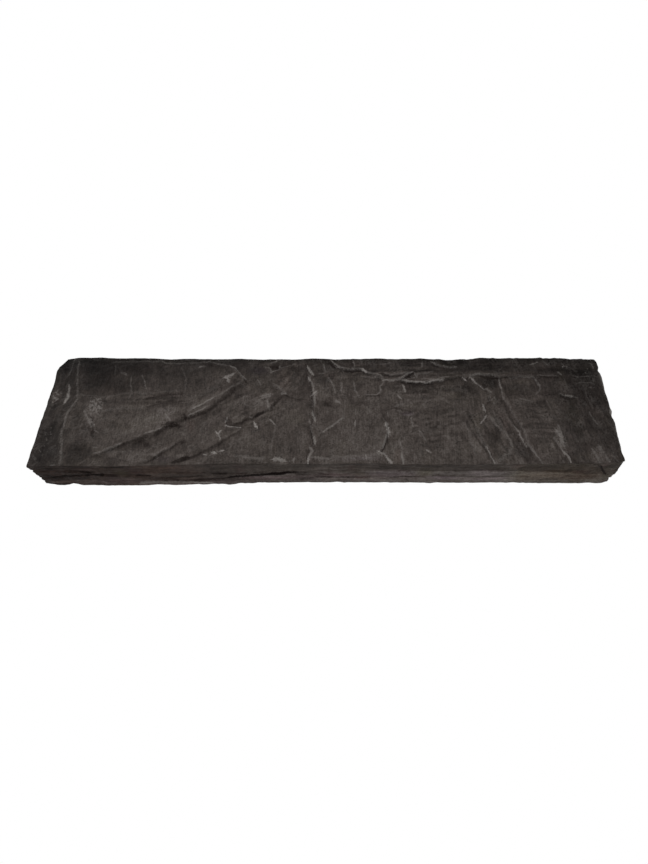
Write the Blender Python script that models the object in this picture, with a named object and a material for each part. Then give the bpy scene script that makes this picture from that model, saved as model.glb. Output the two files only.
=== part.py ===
"""A riven slate slab, about a metre long, as one closed solid resting on its flat underside.

The split top face carries flake ledges, grooves and a sloping facet at its left end.
The four walls show the stone's layers, which step in and out at three beds and open into a crack.
Lengths are in millimetres up to the last step, which builds the mesh in metres.
X runs along the slab, Y from its front to its back, Z up from the underside.
"""

import bpy
import bmesh
import numpy as np
from mathutils import Vector
from mathutils.geometry import delaunay_2d_cdt

MM = 0.001
HALF_LENGTH = 506.0
HALF_WIDTH = 110.0
THICKNESS = 80.0

COLUMNS = 76  # steps along the length
ROWS = 17  # steps across the width
FILL_SPACING = 14.5  # between the points that fill the top face
LINE_CLEARANCE = 5.5  # from a fill point to a ledge or to the outline

# The plan outline of the top edge: each side's position against the other axis.
TOP_FRONT = ((-506, -108), (-432, -111), (-380, -112), (-300, -110.5), (-155, -107.5), (0, -108.5),
             (121, -109), (240, -110.8), (357, -110.4), (460, -109), (492, -107), (506, -103))
TOP_BACK = ((-506, 112.5), (-484, 114.5), (-440, 114.5), (-400, 112.5), (-340, 112.5), (-310, 110.5),
            (-282, 111.5), (-230, 110.8), (-197, 112), (-163, 110), (-87, 110), (-27, 111.8), (7, 110),
            (41, 111.5), (58, 110), (92, 111.3), (126, 109), (177, 112), (211, 111.5), (230, 110.3),
            (262, 112.3), (290, 114.3), (331, 114.3), (405, 113.8), (480, 112.2), (506, 111))
TOP_LEFT = ((-112, -509.5), (-85, -509.8), (-60, -508.5), (-25, -507), (20, -506.5), (50, -504),
            (85, -504), (93, -501), (112, -486.5))
TOP_RIGHT = ((-110, 505), (-96, 502.6), (-80, 504), (-57, 505.5), (-33, 507), (-27, 507), (-21, 504.5),
             (-12, 507.5), (25, 508.5), (52, 509.2), (78, 509), (84, 508), (93, 511), (104, 510.5),
             (110, 508))
# The outline where the walls meet the underside.
BASE_FRONT = ((-506, -107.5), (-488, -110.8), (-475, -111), (-458, -108.6), (-442, -111.3), (-400, -112),
              (-356, -112), (-300, -111), (-261, -111.8), (-228, -110), (-176, -111), (-158, -109),
              (-131, -107.8), (-85, -107.4), (24, -107.2), (133, -108), (180, -109.2), (205, -108.6),
              (262, -109.3), (295, -108.6), (352, -109.6), (410, -110.4), (498, -110.6), (506, -108))
BASE_BACK = ((-506, 106), (-380, 110), (-220, 108.5), (-60, 111), (90, 108), (260, 110.5), (420, 109),
             (506, 107))
BASE_LEFT = ((-110, -505.5), (-60, -505), (10, -501), (60, -502), (110, -494))
BASE_RIGHT = ((-110, 506.5), (-40, 505), (30, 503), (110, 500))

# The facet that falls away to the left end starts at this crease, given as x against y.
LEFT_CREASE = ((-110, -447), (-75, -456), (-30, -462), (-5, -458), (18, -449), (45, -455), (100, -463))
LEFT_DROP = 7.5  # at the left end
LEFT_RUN = 52.0  # from the crease to the end

# Each ledge is a line with its high side on the left as it runs: points, rise, sink, reach, half step's width.
# The high side climbs to the lip over the reach, and the low side sinks at its foot.
LEDGES = {
    "diagonal_rib": (((-402, -93), (-375, -84), (-347, -71), (-329, -64), (-314, -56), (-298, -50),
                      (-277, -36), (-252, -17), (-229, -10), (-211, 0), (-185, 27), (-167, 43), (-150, 58)),
                     4.2, 2.2, 30, 3.2),
    "rib_end": (((-148, 60), (-159, 73), (-167, 82), (-175, 91)), 2.0, 1.2, 18, 1.1),
    "lower_left_groove": (((-307, -106), (-296, -99), (-285, -88), (-270, -79), (-261, -71), (-240, -66)),
                          2.0, 1.2, 20, 2.4),
    "lower_mid_ledge": (((-259, -106), (-248, -101), (-238, -97), (-220, -90), (-211, -84), (-203, -79),
                         (-185, -69), (-172, -58), (-155, -47), (-148, -38)), 2.4, 1.4, 20, 2.0),
    "corner_flake": (((-150, -37), (-160, -37), (-176, -36), (-178, -18)), 1.6, 1.6, 14, 1.1),
    "mid_groove": (((-172, -34), (-155, -28), (-146, -23), (-131, -18), (-122, -10), (-106, -3), (-96, 8),
                    (-89, 18), (-79, 28)), 2.0, 1.8, 18, 2.0),
    "patch_edge": (((-98, 53), (-85, 40), (-78, 31), (-54, 20), (-37, 19)), 1.8, 1.0, 20, 1.6),
    "long_crack": (((-38, 104), (-32, 92), (-26, 75), (-34, 68), (-30, 56), (-27, 38), (-24, 10), (-22, -25),
                    (-30, -38), (-26, -55), (-22, -70), (-29, -80), (-31, -93), (-33, -104)),
                   1.9, 1.2, 22, 1.2),
    "centre_flake": (((-8, -47), (-2, -42), (11, -34), (20, -25), (27, -20), (29, 0)), 1.2, 0.8, 14, 1.2),
    "curved_edge": (((104, -104), (96, -91), (90, -87), (97, -72), (104, -52), (104, -30), (99, -16), (95, 0),
                     (92, 16)), 2.0, 1.2, 20, 1.2),
    "back_ledge": (((92, 62), (104, 60), (120, 60), (137, 61), (150, 57), (181, 54), (196, 58), (215, 62),
                    (245, 68), (264, 70), (283, 75), (318, 69), (345, 70), (385, 69), (400, 67), (428, 64)),
                   2.6, 1.4, 24, 1.4),
    "back_left_flake": (((10, 105), (15, 98), (24, 91), (36, 87), (65, 87), (73, 80), (92, 74), (106, 65)),
                        2.0, 1.2, 18, 1.3),
    "back_mid_flake": (((102, 80), (115, 73), (139, 72), (155, 75), (168, 72), (181, 75), (197, 82)),
                       1.8, 0.8, 14, 1.3),
    "back_notch": (((198, 105), (209, 98), (220, 92), (233, 91), (243, 93)), 2.0, 2.0, 16, 1.3),
    "top_mid_flake": (((-62, 99), (-76, 93), (-89, 88), (-103, 81)), 1.8, 1.4, 16, 1.4),
    "right_ridge": (((318, 63), (317, 48), (319, 32), (321, 18), (326, 4), (330, -10), (337, -28), (343, -46),
                     (347, -72), (354, -90), (361, -105)), 2.2, 1.4, 26, 1.5),
    "hollow_edge": (((276, -8), (288, 14), (294, 28), (289, 38), (281, 47), (267, 66)), 1.4, 2.0, 18, 1.5),
    "short_ridge": (((279, -105), (274, -92), (271, -78), (264, -55)), 1.4, 0.8, 14, 1.5),
    "right_flake": (((384, 67), (389, 56), (391, 44), (386, 36), (378, 30)), 1.4, 1.0, 16, 1.2),
    "patch_sill": (((424, 30), (400, 28), (372, 28), (345, 28), (320, 29)), 0.9, 1.3, 12, 1.5),
    "right_chip": (((418, 31), (434, 26), (452, 23)), 1.6, 1.2, 12, 1.1),
    "front_scuff": (((392, -60), (397, -75), (401, -88), (407, -104)), 1.4, 0.8, 14, 1.2),
    "left_sill": (((-337, 38), (-382, 31), (-408, 27), (-447, 31)), 1.2, 0.8, 14, 2.2),
    "left_shelf": (((-401, -3), (-371, 1), (-330, 4)), 0.2, 1.2, 12, 2.0),
}

# Ridges (positive) and grooves (negative): points, height, half width.
RIBS = {
    "rib_crest": (((-246, -13), (-233, -2), (-220, 9), (-205, 20), (-185, 33), (-167, 48)), 0.9, 3.0),
    "loop": (((290, -20), (296, -38), (307, -51), (314, -66), (311, -80), (303, -92), (288, -102)), 1.2, 4.5),
    "upper_streak": (((-320, 25), (-300, 28), (-277, 30), (-259, 32)), -1.2, 3.2),
    "streak": (((-330, 17), (-300, 15), (-277, 18)), -1.1, 3.0),
    "lower_streak": (((-321, 5), (-298, 11), (-270, 14), (-255, 16)), -1.0, 2.6),
    "soft_hollow": (((-15, 10), (25, 11), (70, 13)), -1.4, 8.0),
    "pit_row": (((-420, -15), (-412, -27), (-407, -48)), -1.4, 2.6),
}

# The three beds that part the layers: height against x on the front wall and on the back wall.
BEDS = (
    (((-503, 55), (-445, 61), (-425, 57), (-405, 55), (-340, 55), (-250, 51), (-200, 47), (-176, 45),
      (-140, 46), (-100, 50), (-50, 54), (-20, 52), (182, 54), (320, 54), (345, 51), (370, 51), (400, 49),
      (430, 43), (500, 34)),
     ((-506, 52), (-300, 55), (-60, 50), (160, 54), (340, 49), (506, 44))),
    (((-503, 26), (-480, 35), (-450, 44), (-440, 46), (-420, 45), (-410, 48), (-393, 48), (-376, 46),
      (-336, 42), (-311, 42), (-290, 33), (-265, 25), (-240, 22), (-220, 24), (-190, 27), (-170, 35),
      (-155, 36), (-143, 36), (-130, 39), (-100, 43), (-75, 47), (-50, 49), (-38, 48), (-20, 43), (0, 38),
      (20, 37), (320, 42), (500, 28)),
     ((-506, 33), (-330, 36), (-90, 33), (120, 37), (330, 32), (506, 29))),
    (((-503, 13), (-400, 35), (-330, 32), (-300, 24), (-262, 17), (-230, 16), (-190, 21), (-150, 19),
      (-60, 26), (-18, 28), (42, 26), (112, 29), (184, 31), (240, 34), (326, 29), (400, 30), (500, 16)),
     ((-506, 17), (-200, 14), (60, 20), (300, 15), (506, 18))),
)
# How deep each bed is open, in the same order.
BED_GAPS = (
    (((-506, 0.8), (-400, 1), (-200, 0.5), (-120, 0.2), (506, 0.2)), ((-506, 1.2), (0, 2.2), (506, 1))),
    (((-506, 0.8), (-460, 1.6), (-380, 1.6), (-330, 0.8), (-300, 0.3), (-250, 0.8), (-150, 1.8), (-60, 1.8),
      (-35, 0.8), (0, 0.4), (506, 0.4)),
     ((-506, 1), (-180, 3.4), (60, 1), (506, 2))),
    (((-506, 0.5), (-200, 0.5), (-20, 0.8), (320, 0.8), (350, 0.3), (506, 0.3)),
     ((-506, 1), (200, 2), (506, 1))),
)
LAYER_PROUD = (0.0, 1.2, 2.0, 0.6)  # each layer's mean stand-out, from the top one down
LAYER_WANDER = 1.0  # how far a layer's face wanders about its mean
LAYER_BREAK = 0.9  # how far its broken blocks stand in or out
BED_WANDER = 2.0
BED_LIP = 1.8  # from a bed to the lips of the layers it parts
BACK_ROUGHNESS = 1.9  # of the ends and the back against the dressed front

# Chips out of the top edge and its corners: x, y, radius, depth.
CHIPS = ((-331, 113, 14, 0.8), (-122, 111, 15, 1), (60, 111, 12, 0.9), (221, 112, 15, 1.2),
         (330, 114, 13, 0.9), (508, 85, 9, 1.5), (508, -22, 8, 1.6), (510, -109, 17, 2), (128, -110, 13, 1.4),
         (62, -110, 11, 1.2), (-16, -110, 17, 1.2), (-78, -110, 13, 1.4))

ARRIS_FALL = 3.0  # depth of the worn strip under the top edge
ARRIS_WEAR = 1.2  # how far the top edge is worn back
FOOT_HEIGHT = 3.2  # of the broken rim round the underside
FOOT_BREAK = 1.5  # how far that height wanders
FOOT_INSET = 4.5
FOOT_NOTCH = ((-506, 0), (-468, 0), (-460, 3.4), (-450, 3.4), (-442, 0), (506, 0))
FOOT_OUT = 1.2  # how far the front's broken foot stands out beyond its outline

# The front wall's right corner has split off past this line, in x and z.
SPALL = ((449, 81), (459, 76), (472, 59), (489, 37), (501, 19))
SPALL_DEPTH = 1.5
CORNER_SWELL = 5.0  # how far the same corner swells out to the right, at half its height


def along(table, where):
    """Reads a table of (position, value) pairs at the given positions, with straight lines between them."""
    positions, values = np.transpose(np.array(table, float))
    return np.interp(where, positions, values)


def smooth(low, high, value):
    """Rises from 0 at low to 1 at high, level at both ends."""
    t = np.clip((value - low) / (high - low), 0, 1)
    return t * t * (3 - 2 * t)


def lattice(i, j, seed):
    """A repeatable number from -1 to 1 for each whole-number pair."""
    n = (i * 374761393 + j * 668265263 + seed * 974634777) & 0xFFFFFFFF
    n = ((n ^ (n >> 13)) * 1274126177) & 0xFFFFFFFF
    return ((n ^ (n >> 16)) & 0xFFFF) / 32767.5 - 1


def swell(x, y, size, seed, block=0.0):
    """Unevenness from -1 to 1: lattice numbers, eased from one to the next, and level for the share block."""
    u, v = np.asarray(x) / size + 97.3, np.asarray(y) / size + 53.1
    i, j = np.floor(u).astype(np.int64), np.floor(v).astype(np.int64)
    fu, fv = smooth(block, 1 - block, u - i), smooth(block, 1 - block, v - j)
    near = lattice(i, j, seed) * (1 - fu) + lattice(i + 1, j, seed) * fu
    far = lattice(i, j + 1, seed) * (1 - fu) + lattice(i + 1, j + 1, seed) * fu
    return near * (1 - fv) + far * fv


def from_line(x, y, points):
    """Signed distance to a line of points, positive on its left, and the share of it run at the near point."""
    p = np.array(points, float)
    step = np.diff(p, axis=0)
    length = np.hypot(step[:, 0], step[:, 1])
    rx, ry = x[:, None] - p[:-1, 0], y[:, None] - p[:-1, 1]
    t = np.clip((rx * step[:, 0] + ry * step[:, 1]) / length**2, 0, 1)
    distance = np.hypot(rx - t * step[:, 0], ry - t * step[:, 1])
    side = np.sign(step[:, 0] * ry - step[:, 1] * rx)
    near = distance.argmin(axis=1)
    row = np.arange(len(x))
    run = np.concatenate([[0], np.cumsum(length)[:-1]])
    share = (run[near] + t[row, near] * length[near]) / length.sum()
    return distance[row, near] * side[row, near], share


def end_fade(share):
    """1 along the middle of a line, and down to 0 at its two ends."""
    return smooth(0, 0.14, np.minimum(share, 1 - share))


def ledge_height(x, y, points, rise, sink, reach, slope):
    distance, share = from_line(x, y, points)
    step = smooth(-slope, slope, distance)
    high = rise * np.exp(-np.maximum(distance, 0) / reach)
    low = sink * np.exp(-np.maximum(-distance, 0) / (0.5 * reach))
    return end_fade(share) * (high * step - low * (1 - step))


def rib_height(x, y, points, height, half_width):
    distance, share = from_line(x, y, points)
    return height * end_fade(share) * np.exp(-((distance / half_width) ** 2))


def top_height(x, y):
    """The split top face: a nearly level plane, its facets and slopes, and the ledges and ribs on it."""
    z = THICKNESS + 0.9 * swell(x, y, 120, 1) + 0.5 * swell(x, y, 38, 2)
    past_crease = along(LEFT_CREASE, y) - x
    z = z - LEFT_DROP * np.clip(past_crease / LEFT_RUN, 0, 1.1) * (1 - 0.8 * smooth(62, 104, y))
    z = z - 2.6 * smooth(66, 112, y) * smooth(170, 240, x)
    z = z - 1.6 * smooth(440, 506, x)
    for points, rise, sink, reach, slope in LEDGES.values():
        z = z + ledge_height(x, y, points, rise, sink, reach, slope)
    for points, height, half_width in RIBS.values():
        z = z + rib_height(x, y, points, height, half_width)
    for chip_x, chip_y, radius, depth in CHIPS:
        z = z - depth * (1 - smooth(0.2 * radius, radius, np.hypot(x - chip_x, y - chip_y)))
    return z


def plan(a, b, front, back, left, right):
    """Places a point at shares a of the length and b of the width, between four uneven sides."""
    x_even, y_even = (2 * a - 1) * HALF_LENGTH, (2 * b - 1) * HALF_WIDTH
    x = along(left, y_even) * (1 - a) + along(right, y_even) * a
    y = along(front, x_even) * (1 - b) + along(back, x_even) * b
    return x, y


def rim_shares():
    """The shares (a, b) of the points round the rim, anticlockwise from the front left corner."""
    a, b = np.linspace(0, 1, COLUMNS), np.linspace(0, 1, ROWS)
    front = np.stack([a[:-1], np.zeros(COLUMNS - 1)])
    right = np.stack([np.ones(ROWS - 1), b[:-1]])
    back = np.stack([a[:0:-1], np.ones(COLUMNS - 1)])
    left = np.stack([np.zeros(ROWS - 1), b[:0:-1]])
    return np.concatenate([front, right, back, left], axis=1)


def outward(a, b):
    """The way each rim point faces: straight out of its wall, or both ways at a corner."""
    x = (a == 1).astype(float) - (a == 0)
    y = (b == 1).astype(float) - (b == 0)
    return x, y


def roughness(y):
    """1 on the dressed front, and up to BACK_ROUGHNESS on the ends and the back."""
    return 1 + (BACK_ROUGHNESS - 1) * smooth(-HALF_WIDTH, -0.5 * HALF_WIDTH, y)


def bed_value(tables, x, y):
    """A bed's height or gap anywhere on the rim, eased from its front table to its back one."""
    front, back = tables
    share = (y + HALF_WIDTH) / (2 * HALF_WIDTH)
    return along(front, x) * (1 - share) + along(back, x) * share


def corner_ease(x, y):
    """0 at the four upright corners, rising to 1 by 40 mm away from them."""
    return smooth(0, 40, np.hypot(HALF_LENGTH - np.abs(x), HALF_WIDTH - np.abs(y)))


def layer_face(layer, x, y):
    """How far a layer's face stands out at each rim point, in broken blocks and less so near the corners."""
    wander = LAYER_WANDER * swell(x, y, 64, 20 + layer) + LAYER_BREAK * swell(x, y, 27, 30 + layer, 0.34)
    return (LAYER_PROUD[layer] + roughness(y) * wander) * (0.3 + 0.7 * corner_ease(x, y))


def bed_lines(x, y):
    """Each bed's height round the rim, and how deep it is open there: it closes here and there."""
    for bed, (heights, gaps) in enumerate(zip(BEDS, BED_GAPS)):
        height = bed_value(heights, x, y) + (roughness(y) - 0.8) * BED_WANDER * swell(x, y, 45, 70 + bed)
        worn = np.clip(0.85 + (0.8 * roughness(y) - 0.6) * swell(x, y, 33, 80 + bed), 0, 1.7)
        yield height, bed_value(gaps, x, y) * worn


def wall_rings(a, b):
    """The walls' rings of points, from the top edge down: each an array of x, y, z."""
    top_x, top_y = plan(a, b, TOP_FRONT, TOP_BACK, TOP_LEFT, TOP_RIGHT)
    base_x, base_y = plan(a, b, BASE_FRONT, BASE_BACK, BASE_LEFT, BASE_RIGHT)
    out_x, out_y = outward(a, b)
    top_z = top_height(top_x, top_y)

    def ring(z, proud):
        share = z / top_z
        near_foot = (b == 0) * (1 - smooth(3, 14, z))
        proud = proud * (1 - near_foot) + FOOT_OUT * near_foot
        split_off = SPALL_DEPTH * smooth(0, 26, from_line(top_x, z, SPALL)[0]) * (b == 0)
        proud = proud - split_off * (1 - np.exp(-(top_z - z) / ARRIS_FALL))
        knob = (a == 1) * CORNER_SWELL * (1 - smooth(-108, -70, top_y)) * np.exp(-(((z - 40) / 25) ** 2))
        x = base_x * (1 - share) + top_x * share + out_x * proud + knob
        y = base_y * (1 - share) + top_y * share + out_y * proud
        return np.stack([x, y, z], axis=1)

    faces = [layer_face(layer, top_x, top_y) for layer in range(len(LAYER_PROUD))]
    rings = [ring(top_z, 0 * top_z), ring(top_z - ARRIS_FALL, faces[0] * 0.5 + ARRIS_WEAR)]
    upper_middle = 0.5 * (top_z + bed_value(BEDS[0], top_x, top_y))
    rings.append(ring(upper_middle, faces[0] + 0.8 * roughness(top_y) * swell(top_x, top_y, 31, 40)))
    for upper, (height, gap) in enumerate(bed_lines(top_x, top_y)):
        rings.append(ring(height + BED_LIP, faces[upper]))
        rings.append(ring(height, np.minimum(faces[upper], faces[upper + 1]) - gap))
        rings.append(ring(height - BED_LIP, faces[upper + 1]))
    notch = along(FOOT_NOTCH, top_x) * (b == 0)
    break_height = FOOT_HEIGHT + notch + FOOT_BREAK * swell(top_x, top_y, 17, 41)
    rings.append(ring(break_height, faces[3] - 0.4))
    inset = (FOOT_INSET + notch) * corner_ease(top_x, top_y)
    foot = np.stack([base_x - out_x * inset, base_y - out_y * inset, 0 * top_z], axis=1)
    return rings + [foot]


def beside(points, offset):
    """The line of points moved to its left by the offset."""
    p = np.array(points, float)
    way = np.gradient(p, axis=0)
    way /= np.hypot(way[:, 0], way[:, 1])[:, None]
    return p + offset * np.stack([-way[:, 1], way[:, 0]], axis=1)


def fill_points(outline):
    """A staggered grid of points for the top face, clear of the outline and of every ledge."""
    xs = np.arange(-HALF_LENGTH, HALF_LENGTH, FILL_SPACING)
    ys = np.arange(-HALF_WIDTH, HALF_WIDTH, FILL_SPACING)
    x, y = (axis.ravel() for axis in np.meshgrid(xs, ys))
    x = x + 0.5 * FILL_SPACING * (np.round((y - ys[0]) / FILL_SPACING) % 2)
    x, y = x + 3 * swell(x, y, 9, 50), y + 3 * swell(x, y, 9, 51)
    keep = from_line(x, y, np.vstack([outline, outline[:1]]))[0] > LINE_CLEARANCE
    for points, *_ in LEDGES.values():
        keep &= np.abs(from_line(x, y, points)[0]) > LINE_CLEARANCE
    return np.stack([x[keep], y[keep]], axis=1)


def top_surface(outline):
    """Triangles of the top face: flat points, faces, and where each outline point went."""
    points, edges = [tuple(p) for p in outline], []
    count = len(points)
    for line, _, _, _, slope in LEDGES.values():
        for offset in (slope, -slope):
            start = len(points)
            points += [tuple(p) for p in beside(line, offset)]
            edges += [(i, i + 1) for i in range(start, len(points) - 1)]
    points += [tuple(p) for p in fill_points(outline)]
    flat = [Vector(p) for p in points]
    found = delaunay_2d_cdt(flat, edges, [list(range(count))], 1, 0.05)
    placed, faces, origins = found[0], found[2], found[3]
    spot = {source: index for index, sources in enumerate(origins) for source in sources}
    return np.array(placed), faces, [spot[i] for i in range(count)]


def slate():
    """The stone's material: dark, rough, slightly warm grey."""
    material = bpy.data.materials.new("slate")
    material.use_nodes = True
    shader = material.node_tree.nodes["Principled BSDF"]
    shader.inputs["Base Color"].default_value = (0.052, 0.046, 0.043, 1)
    shader.inputs["Roughness"].default_value = 0.72
    shader.inputs["Metallic"].default_value = 0.0
    return material


def slab():
    """The whole stone: the top face, the walls lofted ring by ring, and the flat underside."""
    a, b = rim_shares()
    rings = wall_rings(a, b)
    flat, faces, rim = top_surface(rings[0][:, :2])
    heights = top_height(flat[:, 0], flat[:, 1])
    mesh = bmesh.new()
    top = [mesh.verts.new((x * MM, y * MM, z * MM)) for (x, y), z in zip(flat, heights)]
    for face in faces:
        mesh.faces.new([top[i] for i in face])
    upper = [top[i] for i in rim]
    for ring in rings[1:]:
        lower = [mesh.verts.new(tuple(point * MM)) for point in ring]
        for i in range(len(lower)):
            mesh.faces.new((upper[i - 1], lower[i - 1], lower[i], upper[i]))
        upper = lower
    mesh.faces.new(upper[::-1])
    bmesh.ops.recalc_face_normals(mesh, faces=mesh.faces)
    data = bpy.data.meshes.new("slab")
    mesh.to_mesh(data)
    mesh.free()
    data.materials.append(slate())
    return bpy.data.objects.new("slab", data)


def main():
    for old in list(bpy.data.objects):
        bpy.data.objects.remove(old)
    stone = bpy.data.collections.new("slate_slab")
    bpy.context.scene.collection.children.link(stone)
    stone.objects.link(slab())


main()
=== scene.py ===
"""A riven slate slab, dressed: one closed stone whose skin is worked out on fine grids.

The split top carries flake ledges, ridges and grooves along named lines.
The four broken walls step in and out at the beds between the stone's layers.
Lengths are in millimetres until a mesh is made. X runs along the slab, Y from front to back, Z up.
"""

import math

import bpy
import numpy as np
from mathutils import Matrix


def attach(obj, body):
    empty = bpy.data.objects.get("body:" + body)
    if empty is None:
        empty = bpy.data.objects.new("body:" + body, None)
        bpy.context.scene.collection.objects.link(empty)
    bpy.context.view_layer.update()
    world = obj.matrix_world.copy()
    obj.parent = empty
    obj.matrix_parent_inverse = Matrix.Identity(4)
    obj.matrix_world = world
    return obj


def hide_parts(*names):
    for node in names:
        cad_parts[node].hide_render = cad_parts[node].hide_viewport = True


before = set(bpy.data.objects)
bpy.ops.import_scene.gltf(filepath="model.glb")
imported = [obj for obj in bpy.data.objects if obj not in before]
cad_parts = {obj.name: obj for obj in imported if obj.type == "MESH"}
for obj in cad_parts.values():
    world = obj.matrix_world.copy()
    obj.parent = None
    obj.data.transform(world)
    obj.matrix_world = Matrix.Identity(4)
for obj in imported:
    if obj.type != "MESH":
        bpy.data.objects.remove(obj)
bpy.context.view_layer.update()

MM = 0.001
HALF_LENGTH = 506.0
HALF_WIDTH = 110.0
THICKNESS = 80.5

CELLS_ALONG, CELLS_ACROSS, CELLS_DEEP = 500, 108, 32
COARSE_ALONG, COARSE_ACROSS = 10, 9  # fine cells to one cell of the underside
SHARP_DEGREES = 38  # faces that meet at more than this keep a sharp edge

# ---------------------------------------------------------------- the outline
# Each side of the top edge and of the foot. The long sides give y against x, and the ends x against y.

TOP_FRONT = ((-506, -108), (-432, -111), (-380, -112), (-300, -110.5), (-155, -107.5), (0, -108.5),
             (121, -109), (240, -110.8), (357, -110.4), (460, -109), (492, -107), (506, -103))
TOP_BACK = ((-506, 112.5), (-484, 114.5), (-440, 114.5), (-400, 112.5), (-340, 112.5), (-310, 110.5),
            (-282, 111.5), (-230, 110.8), (-197, 112), (-163, 110), (-87, 110), (-27, 111.8), (7, 110),
            (41, 111.5), (58, 110), (92, 111.3), (126, 109), (177, 112), (211, 111.5), (230, 110.3),
            (262, 112.3), (290, 114.3), (331, 114.3), (405, 113.8), (480, 112.2), (506, 111))
TOP_LEFT = ((-112, -509.5), (-85, -509.8), (-60, -508.5), (-25, -507), (20, -506.5), (50, -504), (85, -504),
            (93, -501), (112, -486.5))
TOP_RIGHT = ((-110, 505), (-96, 502.6), (-80, 504), (-57, 505.5), (-33, 507), (-27, 507), (-21, 504.5),
             (-12, 507.5), (25, 508.5), (52, 509.2), (78, 509), (84, 508), (93, 511), (104, 510.5),
             (110, 508))
BASE_FRONT = ((-506, -107.5), (-488, -110.8), (-475, -111), (-458, -108.6), (-442, -111.3), (-400, -112),
              (-356, -112), (-300, -111), (-261, -111.8), (-228, -110), (-176, -111), (-158, -109),
              (-131, -107.8), (-85, -107.4), (24, -107.2), (133, -108), (180, -109.2), (205, -108.6),
              (262, -109.3), (295, -108.6), (352, -109.6), (410, -110.4), (498, -110.6), (506, -108))
BASE_BACK = ((-506, 106), (-380, 110), (-220, 108.5), (-60, 111), (90, 108), (260, 110.5), (420, 109),
             (506, 107))
BASE_LEFT = ((-110, -505.5), (-60, -505), (10, -501), (60, -502), (110, -494))
BASE_RIGHT = ((-110, 506.5), (-40, 505), (30, 503), (110, 500))

# ---------------------------------------------------------------- the split top

# The facet that falls away to the left: the x of its crease against y, its drop and the run that it drops in,
# and where the drop dies out towards the back.
LEFT_CREASE = ((-110, -447), (-75, -456), (-30, -462), (-5, -458), (18, -449), (45, -455), (100, -463))
LEFT_DROP, LEFT_RUN = 7.5, 52.0
LEFT_FADE, LEFT_FADED = (62, 104), 0.8

# How far the back right and the right end fall away, and from which y or x to which.
BACK_FALL, BACK_FALL_Y, BACK_FALL_X = 2.6, (66, 112), (170, 240)
END_FALL, END_FALL_X = 1.6, (440, 506)

# Unevenness: each kind's height, size and seed, and the share of it that is level where that isn't 0.
TOP_SWELLS = ((0.9, 120, 1), (0.5, 38, 2), (0.2, (14, 6), 3), (0.22, 5, 4))
# The scaly relief is drawn out one way at the left and another at the right, and is even between them.
LEFT_SCALES, LEFT_TURN = ((1, (70, 20), 100), (0.5, (24, 9), 101)), 32
RIGHT_SCALES, RIGHT_TURN = ((1, (50, 14), 102), (0.6, (20, 6), 103)), -70
MID_SCALES = ((1, 30, 104), (0.55, 12, 105))
LEFT_FROM, RIGHT_FROM = (-120, -240), (180, 260)  # the x between which each takes over
TERRACES = 4.2  # how many terraces the scaly relief climbs to each side of its mean
TERRACE_RISE = 0.42
# A terrace's pale lip is a painted highlight, and its dark foot is painted shade.
TERRACE_LIP_HIGHLIGHT, TERRACE_FOOT_SHADE = 0.1, 0.24  # the strength of a terrace's pale lip and of its dark foot

END_SHARE = 0.14  # the share of a line's length in which each of its ends dies out
CRISP = 1.5  # a ledge whose step is narrower than this each way keeps a crisp lip and foot
SNAP_REACH = 2.0
# How the lines stray from the straight ways between their points.
STRAY_X, STRAY_Y = ((0.9, 16, 90), (0.9, 5.5, 91)), ((0.9, 16, 92), (0.9, 5.5, 93))
LINE_ENDS = (1.7, 3.2)  # a drawn line dies out between these multiples of its half width
# A ledge is paler behind its lip, for each mm of its rise, partly as wear and partly as painted light on its
# raised side, and darker at its foot as painted shade: by how much, and over what share of its reach.
LIP_WEAR_AND_LIGHT, LIP_REACH = 0.06, 0.7
FOOT_SHADE, FOOT_REACH = 0.4, 0.3
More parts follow.
